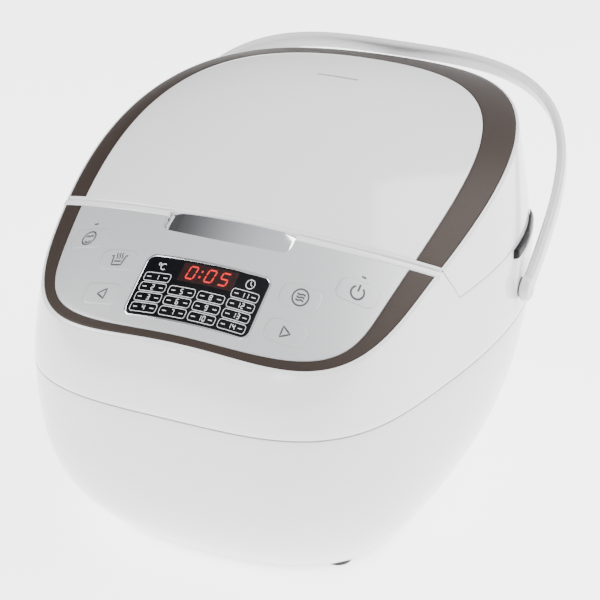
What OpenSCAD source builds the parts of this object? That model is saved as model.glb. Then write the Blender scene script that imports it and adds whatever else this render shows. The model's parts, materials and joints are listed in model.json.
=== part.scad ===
// Multicooker: a rounded white rice cooker with a sloping control panel at
// the front, a hinged domed lid and a carrying handle that folds back.
// Front is -Y, up is +Z, right is +X. The origin is on the table, under the
// middle of the whole object.

/* [Body] */
// Width of the housing at its front shoulders
body_w = 268; // [240:1:310]
// Depth of the housing at its belt line
body_d = 360.7; // [330:0.1:420]
// Height of the belt line, where the lower and the upper housing meet
belt_z = 122.9; // [105:0.1:140]
// Height of the parting line between the housing and the lid
seam_z = 173.8; // [165:0.1:185]
// Height of the lid's crown above the parting line
crown_h = 78.2; // [65:0.1:95]
// Wall thickness of the moulded housings
wall = 3; // [2:0.1:4]
// How far the base is set in from the belt at each side
base_in_side = 32.5; // [20:0.5:40]
// How far the base is set in from the belt at the front
base_in_front = 41.4; // [25:0.1:55]
// How far the base is set in from the belt at the rear
base_in_rear = 30; // [15:0.5:36]
// How far the shoulder of the dome is set in at each side
rim_in_side = 5.2; // [3:0.1:8]
// How far the shoulder of the dome is set in at the front
rim_in_front = 11.1; // [6:0.1:16]
// How far the shoulder of the dome is set in at the rear
rim_in_rear = 5.6; // [3:0.1:9]
// Height of the rubber feet below the base plate
foot_h = 4; // [3:0.5:8]
// Radius of a rubber foot
foot_r = 9; // [6:0.5:12]

/* [Panel and lid edge] */
// Distance from the front of the body back to the lid's edge at the centre
panel_d = 90.8; // [82:0.1:100]
// How far the lid's edge sweeps back from its centre to its ends
edge_bow = 19; // [8:0.5:26]
// How far the lid's side skirts rake back from shoulder to parting line
skirt_rake = 14.3; // [6:0.1:20]
// Gap between the lid and the housing
lid_gap = 0.8; // [0.5:0.1:1.5]
// Width of the brown band at each side
band_side = 22.2; // [14:0.1:28]
// Width of the brown band at the front
band_front = 5.8; // [4:0.1:9]
// Length of the brown band behind the lid's white top panel
band_rear = 48.7; // [20:0.1:60]
// Thickness of the plates that cover the dome
skin_t = 2; // [1.5:0.1:3]
// Gap around each plate that is let into the dome
skin_gap = 0.3; // [0.2:0.05:0.6]

/* [Controls] */
// Width of the display glass
glass_w = 80; // [70:1:90]
// Depth of the display glass, measured in plan
glass_d = 35; // [30:1:40]
// Corner radius of the display glass
glass_r = 4; // [2:0.5:8]
// Width of the display's bright frame
bezel_w = 1.2; // [0.8:0.1:2]
// Width of a key
key_w = 25; // [18:1:28]
// Depth of a key
key_d = 15; // [11:1:17]
// Clearance around a key
key_gap = 0.35; // [0.25:0.05:0.6]
// Travel of a key
key_travel = 0.8; // [0.4:0.1:1.2]
// Width of the lid's release button
button_w = 84; // [60:1:96]
// Depth of the release button at its centre
button_d = 14.6; // [11:0.1:16]
// Clearance around the release button
button_gap = 0.6; // [0.4:0.1:1]
// Travel of the release button
button_travel = 3; // [2:0.5:4]

/* [Pot and heater] */
// Radius of the pot's wall, outside
pot_r = 106; // [90:1:108]
// Thickness of the pot's wall
pot_t = 2; // [1.5:0.1:3]
// Depth of the pot
pot_h = 138; // [110:1:142]
// Width of the pot's rim
pot_rim = 8; // [5:0.5:8]
// Clearance between the pot and the heat shield
pot_gap = 2.5; // [1.5:0.5:4]
// Radius of the heating plate
plate_r = 84; // [70:1:88]
// Thickness of the heating plate
plate_t = 8; // [6:0.5:10]
// Radius of the temperature sensor's cap
sensor_r = 15; // [12:0.5:20]

/* [Handle] */
// How far the handle stands out past half of the housing's width, at each side
handle_out = 18.7; // [14:0.1:51]
// How much longer the handle is than the run from its pivots to the housing's rear
handle_over = 28.2; // [15:0.1:65]
// Width of the handle's strap
strap_w = 12.6; // [10:0.1:16]
// Thickness of the handle's strap
strap_t = 6.3; // [4:0.1:8]
// How far the folded handle leans back from upright
handle_lean = 58; // [40:1:75]
// Height of the handle's pivots
pivot_z = 143.5; // [135:0.1:155]
// How far the handle's pivots are behind the origin
pivot_y = 27.5; // [20:0.1:40]
// Radius of the handle's pivot pins
pivot_r = 4; // [3:0.5:5]
// How far the pivot housings stand out from the body
hub_out = 3.8; // [3:0.1:6]

/* [Hinge] */
// Radius of the lid's hinge pin
pin_r = 2.5; // [2:0.25:3]
// Distance from the rear wall to the hinge pin
hinge_in = 11.3; // [10:0.1:13]
// How far the condensate cup stands out behind the body
cup_out = 6.1; // [4:0.1:12]

/* [Hidden] */
$fn = 64;

eps = 0.01;
fit_gap = 0.2;
body_y0 = -(body_d + cup_out) / 2;
body_y1 = body_y0 + body_d;
handle_hw = body_w / 2 + handle_out;
handle_l = body_y1 - pivot_y + handle_over;
half_w = body_w / 2;
long = body_d / 360.7;
waist_y = body_y0 + 104.4 * long;

// Outlines in plan: half width at the waist, front, rear, waist, corner
// exponents of the front and the rear, and taper per 100 mm
belt = [half_w, body_y0, body_y1, waist_y, 3.76, 2.13, 0.16];
base = [half_w - base_in_side, body_y0 + base_in_front, body_y1 - base_in_rear, waist_y + 2,
  2.5, 1.9, 0.1];
rim = [half_w - rim_in_side, body_y0 + rim_in_front, body_y1 - rim_in_rear, waist_y + 8.5,
  4, 1.94, 0.15];
inlay = [rim[0] - band_side, rim[1] + band_front, rim[2] - band_rear, waist_y - 33.9 * long,
  3.4, 2.38, 0.16];
rise_ease = 3.48;
wall_ease = 1.56;

// Steps around the body, and up each part of the wall
ROUND = 56;
LOWER = [0, 0.03, 0.08, 0.16, 0.28, 0.45, 0.7, 1];
UPPER = [0, 0.2, 0.4, 0.6, 0.8, 1];

function spow(v, e) = sign(v) * pow(abs(v), e);
function mix(a, b, t) = a + (b - a) * t;
function inset(o, d) = [o[0] - d, o[1] + d, o[2] - d, o[3], o[4], o[5], o[6]];
function oval(o, a) =
  let (n = sin(a) < 0 ? o[4] : o[5],
       s = spow(sin(a), 2 / n),
       y = o[3] + (s > 0 ? o[2] - o[3] : o[3] - o[1]) * s)
  [o[0] * spow(cos(a), 2 / n) * (1 + o[6] * (y - o[3]) / 100), y];
function half_at(o, y) =
  let (s = abs((y - o[3]) / (y > o[3] ? o[2] - o[3] : o[1] - o[3])),
       n = y > o[3] ? o[5] : o[4])
  s >= 1 ? 0 : o[0] * pow(1 - pow(s, n), 1 / n) * (1 + o[6] * (y - o[3]) / 100);
function turn(i) = 360 * (i + 0.5) / ROUND;
function outline(o) = [for (i = [0:ROUND - 1]) oval(o, turn(i))];

// The dome: a long curve from front to rear, falling away to both sides
dome_top = seam_z + crown_h;
function dome(x, y) =
  let (v = (y - body_y0 - 150.4 * long) / (100 * long), u = x / half_w)
  dome_top - 14.8 + 31.1 * v - 15.8 * v * v - 0.75 * pow(v, 3) + 0.19 * pow(v, 4)
  - (18.9 - 4.3 * v + 8.5 * u * u) * u * u;
function dome_n(x, y) =
  let (a = dome(x + 1, y) - dome(x - 1, y), b = dome(x, y + 1) - dome(x, y - 1),
       l = sqrt(a * a + b * b + 4))
  [-a / l, -b / l, 2 / l];

// The wall between base and belt, and between belt and shoulder
function lower_o(t, d) =
  let (s = 1 - pow(1 - t, rise_ease))
  inset([for (k = [0:6]) mix(base[k], belt[k], k < 3 ? s : t)], d);
function lower_ring(t, d) =
  [for (p = outline(lower_o(t, d))) [p[0], p[1], mix(foot_h, belt_z, t)]];
function upper_pt(a, t, d) =
  let (b = oval(inset(belt, d), a), r = oval(inset(rim, d), a), g = pow(t, wall_ease))
  [mix(b[0], r[0], g), mix(b[1], r[1], g), mix(belt_z, dome(r[0], r[1]) - (d > 0 ? skin_t + 0.4 : 0), t)];
function upper_ring(t, d) = [for (i = [0:ROUND - 1]) upper_pt(turn(i), t, d)];
function seam_t(a, z) = (z - belt_z) / (upper_pt(a, 1, 0)[2] - belt_z);
function seam_pt(a, d) = upper_pt(a, seam_t(a, seam_z), d);

// A tube whose rings run up the outside and down the inside
module ring_loft(rings) {
  n = len(rings[0]);
  m = len(rings);
  polyhedron(
    points = [for (r = rings) each r],
    faces = [for (k = [0:m - 1], i = [0:n - 1])
      let (a = k * n, b = ((k + 1) % m) * n, j = (i + 1) % n)
      each [[a + i, b + i, a + j], [a + j, b + i, b + j]]]);
}

// A slab that follows the dome from depth d0 to depth d1 below it
module dome_slab(d0, d1, x0, x1, y0, y1, step = 18) {
  nx = max(1, ceil((x1 - x0) / step));
  ny = max(1, ceil((y1 - y0) / step));
  w = nx + 1;
  c = w * (ny + 1);
  function at(i, j, d) =
    let (x = mix(x0, x1, i / nx), y = mix(y0, y1, j / ny)) [x, y, dome(x, y) - d];
  function id(i, j) = j * w + i;
  polyhedron(
    points = [for (d = [d0, d1], j = [0:ny], i = [0:nx]) at(i, j, d)],
    faces = concat(
      [for (j = [0:ny - 1], i = [0:nx - 1])
        each [[id(i, j), id(i, j + 1), id(i + 1, j + 1)], [id(i, j), id(i + 1, j + 1), id(i + 1, j)]]],
      [for (j = [0:ny - 1], i = [0:nx - 1])
        each [[c + id(i, j), c + id(i + 1, j + 1), c + id(i, j + 1)],
              [c + id(i, j), c + id(i + 1, j), c + id(i + 1, j + 1)]]],
      [for (i = [0:nx - 1]) each [
        [id(i, 0), id(i + 1, 0), c + id(i + 1, 0)], [id(i, 0), c + id(i + 1, 0), c + id(i, 0)],
        [id(i + 1, ny), id(i, ny), c + id(i, ny)], [id(i + 1, ny), c + id(i, ny), c + id(i + 1, ny)]]],
      [for (j = [0:ny - 1]) each [
        [id(0, j + 1), id(0, j), c + id(0, j)], [id(0, j + 1), c + id(0, j), c + id(0, j + 1)],
        [id(nx, j), id(nx, j + 1), c + id(nx, j + 1)], [id(nx, j), c + id(nx, j + 1), c + id(nx, j)]]]));
}

// Plan regions and cutters
edge_y = body_y0 + panel_d;
edge_w = 1.6;
sill_w = 4;
far = 400;
function edge(x) = edge_y + edge_bow * pow(min(1.3, abs(x) / rim[0]), 2.6);
corner_y = edge_y + edge_bow;
corner_z = dome(rim[0], corner_y);
module behind_edge(d) {
  xs = [for (i = [-20:20]) i * half_w * 1.5 / 20];
  polygon(concat([for (x = xs) [x, edge(x) + d]], [[half_w * 1.5, far], [-half_w * 1.5, far]]));
}
module lid_side(dy, dz) {
  rotate([90, 0, 90]) linear_extrude(2 * far, center = true)
    polygon([[corner_y + skirt_rake + dy, seam_z + dz], [far, seam_z + dz], [far, far],
      [corner_y + dy, far], [corner_y + dy, corner_z]]);
}
module on_dome(d0, d1) {
  intersection() {
    dome_slab(d0, d1, -half_w - 30, half_w + 30, body_y0 + 2, body_y1 + 4);
    translate([0, 0, belt_z]) linear_extrude(far) children();
  }
}
module round_rect(w, d, r) {
  for (sx = [-1, 1], sy = [-1, 1]) translate([sx * (w / 2 - r), sy * (d / 2 - r)]) circle(r);
  square([w - 2 * r, d], center = true);
  square([w, d - 2 * r], center = true);
}
module box(x, y, z) {
  translate([x[0], y[0], z[0]]) cube([x[1] - x[0], y[1] - y[0], z[1] - z[0]]);
}
module rod_x(x0, x1, y, z, r) {
  translate([x0, y, z]) rotate([0, 90, 0]) cylinder(r = r, h = x1 - x0);
}
module both_sides() {
  children();
  mirror([1, 0, 0]) children();
}
function wall_at(z, d) =
  [for (i = [0:ROUND - 1])
    let (a = turn(i), p = upper_pt(a, min(1, seam_t(a, z)), d)) [p[0], p[1]]];

// Heights of the inner pieces
base_t = 3;
base_top = foot_h + base_t;
deck_top = seam_z - 5.8;
deck_t = 3;
deck_bottom = deck_top - deck_t;
pot_y = edge_y + 134.6;
rim_lift = 0.5;
pot_bottom = deck_top + rim_lift + pot_t - pot_h;
plate_bottom = pot_bottom - plate_t;
shield_r = max(pot_r + pot_gap, plate_r + 13.5) + 1;
shield_bottom = plate_bottom - 11;
board_tilt = 31;

// The wall between the belt and the shoulder, with the edging around the bands
module upper_wall() {
  n = len(UPPER) - 1;
  function edging(drop) =
    [for (p = outline(inset(rim, edge_w))) [p[0], p[1], dome(p[0], p[1]) - drop]];
  ring_loft(concat([for (t = UPPER) upper_ring(t, 0)], [edging(0), edging(skin_t + 0.4)],
    [for (k = [0:n]) upper_ring(UPPER[n - k], wall)]));
}

module lower_housing() {
  n = len(LOWER) - 1;
  color("whitesmoke") difference() {
    ring_loft(concat([for (t = LOWER) lower_ring(t, 0)],
      [for (k = [0:n]) lower_ring(LOWER[n - k], wall)]));
    inlet_body(fit_gap);
  }
}

hub_y = [body_y0 + 201.4, body_y0 + 268.4];
hub_z = [pivot_z - 12.5, seam_z - 7];
hub_cap_h = 6.5;
module hub_plan(outer, inner) {
  intersection() {
    difference() {
      polygon(wall_at(seam_z, -outer));
      polygon(wall_at(seam_z, inner));
    }
    translate([-far, hub_y[0]]) square([2 * far, hub_y[1] - hub_y[0]]);
  }
}
dock_w = 84;
dock_z = [seam_z - 45.8, seam_z - 17.8];
notch_w = 104;
notch_h = hinge_in - 0.9;
bush_r = 6.5;
run_gap = 0.05;
module upper_housing() {
  color("white") difference() {
    union() {
      difference() {
        upper_wall();
        lid_side(-lid_gap / 2, -lid_gap);
      }
      translate([0, 0, hub_z[0]]) linear_extrude(hub_z[1] - hub_z[0]) hub_plan(hub_out, 1);
    }
    rod_x(-far / 2, far / 2, pivot_y, pivot_z, bush_r + run_gap);
    box([-dock_w / 2 - fit_gap, dock_w / 2 + fit_gap], [body_y1 - 30, body_y1 + 30],
      [dock_z[0] - fit_gap, dock_z[1] + fit_gap]);
    box([-notch_w / 2, notch_w / 2], [body_y1 - 60, body_y1 + 20], [hinge_z - notch_h, far]);
  }
}
module hub_caps() {
  color("black") translate([0, 0, hub_z[1]]) linear_extrude(hub_cap_h) hub_plan(hub_out, -0.8);
}

foot_at = [[base[0] - 24, base[1] + 34], [base[0] - 36, base[2] - 70]];
plug_r = 4;
screw_r = 1.9;
screw_at = [[base[0] - 16, base[1] + 74], [base[0] - 20, base[2] - 120]];
module base_plate() {
  color("dimgray") difference() {
    translate([0, 0, foot_h]) linear_extrude(base_t) polygon(outline(inset(base, wall + fit_gap)));
    for (i = [-6:6]) translate([i * 9, base[1] + 20, 0]) linear_extrude(far) round_rect(4, 22, 1.9);
    both_sides() {
      for (p = screw_at) translate([p[0], p[1], 0]) cylinder(r = screw_r, h = far);
      for (p = foot_at) translate([p[0], p[1], 0]) cylinder(r = plug_r + 0.1, h = far);
    }
    for (a = [90, 210, 330]) translate([0, pot_y, 0]) rotate(a) translate([plate_r - 16, 0, 0])
      cylinder(r = 2.6, h = far);
  }
}
module rubber_feet() {
  color("darkslategray") both_sides() for (p = foot_at) translate([p[0], p[1], 0]) {
    cylinder(r = foot_r, h = foot_h);
    cylinder(r = plug_r, h = foot_h + base_t);
  }
}
module screw(r, head_r, head_h, l) {
  difference() {
    union() {
      cylinder(r = head_r, h = head_h);
      cylinder(r = r, h = l);
    }
    translate([0, 0, -eps]) for (a = [0, 90]) rotate(a) translate([-head_r * 0.6, -0.4, 0])
      cube([head_r * 1.2, 0.8, head_h * 0.6]);
  }
}
module base_screws() {
  color("silver") both_sides() for (p = screw_at) translate([p[0], p[1], foot_h - 1.8])
    screw(screw_r, 3.6, 1.8, 12);
}

inlet_w = 48;
inlet_z = [foot_h + 12, foot_h + 36];
inlet_y = [body_y1 - 28, body_y1 - 9];
module inlet_body(g) {
  box([-inlet_w / 2 - g, inlet_w / 2 + g], inlet_y, [inlet_z[0] - g, inlet_z[1] + g]);
}
module power_inlet() {
  color("black") difference() {
    inlet_body(0);
    box([-12.5, 12.5], [inlet_y[1] - 16, far], [inlet_z[0] + 3.5, inlet_z[1] - 3.5]);
    for (i = [-1:1]) pin_blade(i, 0, -eps);
    for (s = [-1, 1]) translate([s * 19.5, far / 2, (inlet_z[0] + inlet_z[1]) / 2]) rotate([90, 0, 0])
      cylinder(r = 1.6, h = far);
  }
}
module pin_blade(i, g, back) {
  zc = (inlet_z[0] + inlet_z[1]) / 2 + (i == 0 ? 2.5 : -2);
  box([i * 7 - 1 - g, i * 7 + 1 + g], [inlet_y[0] - 3 - back, inlet_y[1] - 4], [zc - 2 - g, zc + 2 + g]);
}
module inlet_pins() {
  color("silver") for (i = [-1:1]) pin_blade(i, 0, 0);
}

cup_wall = 1.6;
module cup_dock() {
  color("white") difference() {
    box([-dock_w / 2, dock_w / 2], [body_y1 - 22, body_y1 - 1], dock_z);
    box([-dock_w / 2 + 2, dock_w / 2 - 2], [body_y1 - 20, far], [dock_z[0] + 2, dock_z[1] - 2]);
    translate([0, body_y1 - 12, dock_z[1] - 5]) cylinder(r = 3, h = 10);
  }
}
module condensate_cup() {
  w = dock_w / 2 - 2.4;
  z = [dock_z[0] + 2.4, dock_z[1] - 2.4];
  y = [body_y1 - 19.6, body_y1 + cup_out];
  color("white") difference() {
    box([-w, w], y, z);
    box([-w + cup_wall, w - cup_wall], [y[0] + cup_wall, y[1] - cup_wall - 3], [z[0] + cup_wall, far]);
    box([-16, 16], [y[1] - 2.4, far], [z[0] + 5, z[0] + 13]);
  }
}

// Pot bay
module deck() {
  color("white") difference() {
    translate([0, 0, deck_bottom]) linear_extrude(deck_t) intersection() {
      polygon(wall_at(deck_top, wall + fit_gap));
      behind_edge(-lid_gap / 2);
    }
    translate([0, pot_y, 0]) cylinder(r = pot_r + 1.5, h = far);
    box([-notch_w / 2, notch_w / 2], [hinge_y - 5, far], [0, far]);
  }
}
module bay_front_wall() {
  color("white") difference() {
    intersection() {
      dome_slab(0, 70, -half_w - 10, half_w + 10, edge_y - 20, edge_y + 60);
      translate([0, 0, deck_bottom]) linear_extrude(far) intersection() {
        difference() {
          behind_edge(-lid_gap / 2 - sill_w);
          behind_edge(-lid_gap / 2);
        }
        polygon(outline(inset(rim, wall + fit_gap)));
      }
    }
    box([-11, 11], [edge_y - 10, edge_y + 2], [hook_z - 8, dome(0, edge_y) - 10]);
    translate([0, 0, dome(0, edge_y) - 14]) linear_extrude(far) button_plan(button_gap);
    translate([0, 0, deck_bottom - eps]) linear_extrude(deck_t + 2 * eps) behind_edge(-lid_gap / 2);
  }
}
shield_profile = [[plate_r - 4, shield_bottom], [shield_r - 11.5, shield_bottom + 12],
  [shield_r, shield_bottom + 34], [shield_r, deck_bottom]];
module heat_shield() {
  p = shield_profile;
  t = 0.8;
  color("silver") difference() {
    translate([0, pot_y, 0]) rotate_extrude() polygon([[0, p[0][1]], p[0], p[1], p[2], p[3],
      [p[3][0] - t, p[3][1]], [p[2][0] - t, p[2][1] + 0.2], [p[1][0] - t, p[1][1] + 0.5],
      [p[0][0] - t, p[0][1] + t], [0, p[0][1] + t]]);
    translate([0, pot_y, 0]) {
      cylinder(r = sensor_r + 3, h = pot_bottom);
      for (a = [90, 210, 330]) rotate(a) translate([plate_r - 16, 0, 0]) cylinder(r = 3.2, h = pot_bottom);
      for (s = [-1, 1]) rotate(-90 + s * 14) translate([element_r, 0, 0]) cylinder(r = 5, h = pot_bottom);
    }
  }
}
module side_heater() {
  color("dimgray") translate([0, pot_y, belt_z - 36]) rotate_extrude()
    translate([shield_r + 0.3, 0]) square([3, 30]);
}
element_r = 58;
element_t = 4;
module heating_plate() {
  color("silver") difference() {
    translate([0, pot_y, plate_bottom]) cylinder(r = plate_r, h = plate_t);
    translate([0, pot_y, 0]) cylinder(r = sensor_r + 1.5, h = far);
    translate([0, pot_y, plate_bottom]) rotate_extrude() translate([element_r, 0]) circle(element_t + 0.1);
  }
}
module heating_element() {
  color("dimgray") translate([0, pot_y, plate_bottom]) {
    rotate([0, 0, -76]) rotate_extrude(angle = 332) translate([element_r, 0]) circle(element_t);
    for (s = [-1, 1]) rotate(-90 + s * 14) translate([element_r, 0, -14]) cylinder(r = 2.5, h = 11);
  }
}
module plate_studs() {
  color("silver") for (a = [90, 210, 330]) translate([0, pot_y, 0]) rotate(a)
    translate([plate_r - 16, 0, 0]) {
      translate([0, 0, foot_h]) cylinder(r = 2.5, h = plate_bottom - foot_h);
      translate([0, 0, base_top]) cylinder(r = 4.5, h = shield_bottom - base_top - fit_gap);
    }
}
module inner_pot() {
  c = 22;
  r = pot_r;
  t = pot_t;
  z0 = pot_bottom;
  z1 = pot_bottom + pot_h;
  function arc(rad, cx, cz) = [for (a = [-90:15:0]) [cx + rad * cos(a), cz + rad * sin(a)]];
  color("dimgray") translate([0, pot_y, 0]) rotate_extrude() polygon(concat([[0, z0]],
    arc(c, r - c, z0 + c), [[r, z1 - t], [r + pot_rim, z1 - t], [r + pot_rim, z1], [r - t, z1]],
    [for (k = [0:6]) arc(c - t, r - c, z0 + c)[6 - k]], [[0, z0 + t]]));
}
sensor_travel = 3;
module sensor_cap() {
  z1 = pot_bottom - 0.3;
  color("silver") translate([0, pot_y, 0]) rotate_extrude() polygon([[0, z1], [sensor_r - 2, z1],
    [sensor_r, z1 - 2], [sensor_r, z1 - 12], [sensor_r - 1.2, z1 - 12], [sensor_r - 1.2, z1 - 2.5], [4, z1 - 2.5],
    [4, z1 - 7], [0, z1 - 7]]);
}
socket_top = shield_bottom - 1;
module sensor_socket() {
  color("dimgray") translate([0, pot_y, base_top]) difference() {
    cylinder(r = sensor_r - 3, h = socket_top - base_top);
    translate([0, 0, 2]) cylinder(r = 9, h = far);
  }
}
module coil_spring(r, wire, z0, z1, turns) {
  for (k = [0:turns - 1]) translate([0, 0, mix(z0 + wire, z1 - wire, k / (turns - 1))])
    rotate_extrude() translate([r, 0]) circle(wire, $fn = 16);
}
module sensor_spring() {
  color("silver") translate([0, pot_y, 0])
    coil_spring(7, 0.5, base_top + 2, pot_bottom - 2.8, 6);
}
module thermal_fuse() {
  color("ivory") translate([34, pot_y - 7, plate_bottom - 5.6]) {
    rotate([0, 90, 90]) cylinder(r = 2, h = 14);
    translate([-3, 3, 2]) cube([6, 8, 3.6]);
  }
}

power_y = base[1] + 12;
module power_board() {
  z = base_top + 5;
  color("darkgreen") difference() {
    box([-58, 58], [power_y, power_y + 46], [z, z + 1.6]);
    for (sx = [-1, 1], sy = [5, 41]) translate([sx * 53, power_y + sy, 0]) cylinder(r = 1.7, h = far);
  }
  color("gold") {
    box([-44, -14], [power_y + 8, power_y + 36], [z + 1.6, z + 27]);
    box([-6, 12], [power_y + 10, power_y + 24], [z + 1.6, z + 17]);
    box([20, 38], [power_y + 10, power_y + 24], [z + 1.6, z + 17]);
    translate([2, power_y + 34, z + 1.6]) cylinder(r = 6, h = 20);
  }
}
module wire(path, r, sides = 8) {
  n = len(path);
  function ring(k) =
    let (d = path[min(n - 1, k + 1)] - path[max(0, k - 1)], s = cross(d, [0, 0, 1]), u = cross(s, d))
    [for (i = [0:sides - 1]) let (a = 360 * i / sides) path[k] + r * (cos(a) * s / norm(s) + sin(a) * u / norm(u))];
  polyhedron(
    points = [for (k = [0:n - 1]) each ring(k)],
    faces = concat([[for (i = [0:sides - 1]) i]], [[for (i = [0:sides - 1]) n * sides - 1 - i]],
      [for (k = [0:n - 2], i = [0:sides - 1])
        let (a = k * sides, b = a + sides, j = (i + 1) % sides)
        each [[a + i, b + i, a + j], [a + j, b + i, b + j]]]));
}
module mains_wires() {
  z = base_top + 3.2;
  y = inlet_y[0] - 3.1;
  color("sienna") for (s = [-1, 1])
    wire([[s * 7, y, inlet_z[0] + 10], [s * 7, y - 1.6, inlet_z[0] + 10], [s * 7, y - 4, inlet_z[0] + 6.5],
      [s * 8, y - 9, z + 1.5], [s * 14, y - 20, z], [s * 40, pot_y + 60, z], [s * 46, pot_y - 30, z],
      [s * 30, power_y + 56, z], [s * 30, power_y + 47, z + 1]], 1.5);
}

// Control panel
module in_front(d) {
  difference() {
    translate([-far, body_y0 - 20]) square([2 * far, far]);
    behind_edge(-d);
  }
}
glass_y = body_y0 + 42.2;
module button_plan(g) {
  bow = 2.4;
  r = 5;
  w = button_w / 2 + g;
  y0 = edge_y - button_d - g;
  intersection() {
    difference() {
      translate([-w, y0]) square([2 * w, button_d + 20]);
      for (s = [-1, 1]) translate([s * w, y0]) polygon([[0, 0], [0, r], [-s * r * 0.3, r * 0.3], [-s * r * 3, 0]]);
    }
    polygon(concat([for (i = [-8:8]) [w * i / 8, y0 + bow * i * i / 64]], [[w, far], [-w, far]]));
    in_front(lid_gap / 2 + (g > 0 ? -1 : 0));
  }
}
lip_w = lid_gap / 2 + sill_w;
key_at = [[-89.8, 71.5], [-60.5, 55.9], [-60.6, 34.8], [60.5, 55.9], [60.6, 34.8], [89.8, 71.5]];
function key_pt(k) = let (x = key_at[k][0], y = body_y0 + key_at[k][1]) [x, y, dome(x, y)];
module facing(p) {
  n = dome_n(p[0], p[1]);
  a = atan2(n[1], n[0]);
  translate(p) rotate([0, acos(n[2]), a]) rotate(-a) children();
}
module key_holes(g) {
  for (k = [0:5]) facing(key_pt(k)) translate([0, 0, -12]) linear_extrude(24)
    round_rect(key_w + 2 * g, key_d + 2 * g, 5 + g);
}
module glass_plan(g) {
  translate([0, glass_y]) round_rect(glass_w + 2 * g, glass_d + 2 * g, glass_r + g);
}
module control_panel() {
  color("lightgray") difference() {
    on_dome(0, skin_t) difference() {
      intersection() {
        polygon(outline(inset(inlay, skin_gap)));
        in_front(lip_w + skin_gap);
      }
      glass_plan(bezel_w + skin_gap);
      button_plan(button_gap);
    }
    key_holes(key_gap);
  }
}
module panel_band() {
  color([0.32, 0.27, 0.25]) on_dome(0, skin_t) intersection() {
    difference() {
      polygon(outline(inset(rim, edge_w + skin_gap)));
      polygon(outline(inlay));
    }
    in_front(lip_w + skin_gap);
  }
}
module panel_carrier() {
  color("gainsboro") difference() {
    on_dome(skin_t + 0.1, skin_t + 2.5) difference() {
      intersection() {
        polygon(outline(inset(rim, wall + fit_gap)));
        in_front(lip_w + skin_gap);
      }
      glass_plan(-2);
      button_plan(button_gap);
    }
    key_holes(key_gap);
  }
}
module display_glass() {
  color([0.03, 0.03, 0.04]) on_dome(0, skin_t) glass_plan(0);
}
module display_frame() {
  color("silver") on_dome(-0.3, skin_t) difference() {
    glass_plan(bezel_w);
    glass_plan(0.05);
  }
}

board_y = body_y0 + 52;
board_p = [0, board_y, dome(0, board_y) - 27];
board_n = [0, -sin(board_tilt), cos(board_tilt)];
function to_board(p, n) = ((p - board_p) * board_n) / (n * board_n);
module on_board() {
  translate(board_p) rotate([board_tilt, 0, 0]) children();
}
switch_h = 4.3;
module control_board() {
  color("darkgreen") difference() {
    on_board() translate([0, 0, -1.6]) linear_extrude(1.6)
      polygon([[-102, 31], [-102, 2], [-72, -29], [72, -29], [102, 2], [102, 31]]);
    on_board() for (sx = [-1, 1], sy = [-1, 1]) translate([sx * 40, sy * 26, -5]) cylinder(r = 1.6, h = 10);
    on_board() translate([-12, 21, -5]) cube([24, 20, 10]);
  }
}
module board_screws() {
  color("silver") on_board() for (sx = [-1, 1], sy = [-1, 1]) translate([sx * 40, sy * 26, -3.4])
    screw(1.5, 3, 1.8, 9);
}
module tact_switches() {
  color("black") for (k = [0:5]) let (p = key_pt(k), n = dome_n(p[0], p[1]), q = p - n * to_board(p, n))
    translate(q) rotate([board_tilt, 0, 0]) {
      translate([-3, -3, 0]) cube([6, 6, switch_h - 0.8]);
      cylinder(r = 1.7, h = switch_h);
    }
}
module display_module() {
  p = [0, glass_y, dome(0, glass_y)];
  h = to_board(p, board_n);
  color("ivory") difference() {
    translate(p - board_n * h) rotate([board_tilt, 0, 0]) translate([-34, -13, 0]) cube([68, 26, h - 6.5]);
    translate(p - board_n * 8.2) rotate([board_tilt, 0, 0]) translate([-19, -7, 0]) cube([38, 15, 5]);
  }
}
key_t = 3;
module key(k) {
  p = key_pt(k);
  n = dome_n(p[0], p[1]);
  l = to_board(p, n) - switch_h - key_travel - 0.4;
  color("lightgray") facing(p) {
    translate([0, 0, -key_t + 0.1]) linear_extrude(key_t) round_rect(key_w, key_d, 5);
    translate([0, 0, -l]) cylinder(r = 2.4, h = l - 1);
  }
}

// Lid release
hook_y = edge_y - 11.4;
hook_top = dome(0, hook_y) - 11.5;
hook_z = seam_z + 11;
module open_button() {
  s = 8;
  color("silver") {
    on_dome(0.5, 3.5) button_plan(0);
    translate([0, hook_y + s, hook_top + 2.6]) cylinder(r = 2, h = dome(0, hook_y + s) - hook_top - 5.2);
  }
}
module button_spring() {
  y = hook_y + 2;
  color("silver") for (s = [-1, 1]) translate([s * 26, y, 0])
    coil_spring(2.8, 0.4, hook_top - 7.4, dome(26, y - 3.2) - 4.1, 6);
}
module latch_hook() {
  color("dimgray") difference() {
    union() {
      rod_x(-9, 9, hook_y, hook_top, 4);
      box([-9, 9], [hook_y, hook_y + 9.5], [hook_top - 2, hook_top + 2]);
      box([-9, 9], [hook_y + 5, hook_y + 6.6], [hook_z - 3, hook_top + 1]);
      box([-9, 9], [hook_y + 5, hook_y + 10.4], [hook_z - 2.5, hook_z + 0.5]);
    }
    rod_x(-20, 20, hook_y, hook_top, 1.5 + run_gap);
  }
}
module latch_pin() {
  color("silver") rod_x(-15, 15, hook_y, hook_top, 1.5);
}
module latch_bracket() {
  z = [hook_top - 9, hook_top - 7.4];
  color("silver") difference() {
    union() {
      box([-37, 37], [hook_y - 14, hook_y + 6], z);
      both_sides() {
        box([11.5, 15], [hook_y - 4, hook_y + 4], [z[0], hook_top + 2.2]);
        box([34, 37], [hook_y - 14, hook_y - 6], [z[0], dome(37, hook_y - 14) - skin_t - 2.6]);
      }
    }
    box([-10.5, 10.5], [hook_y - 2, far], [0, hook_top - 5]);
    rod_x(-20, 20, hook_y, hook_top, 1.52);
  }
}

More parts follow.
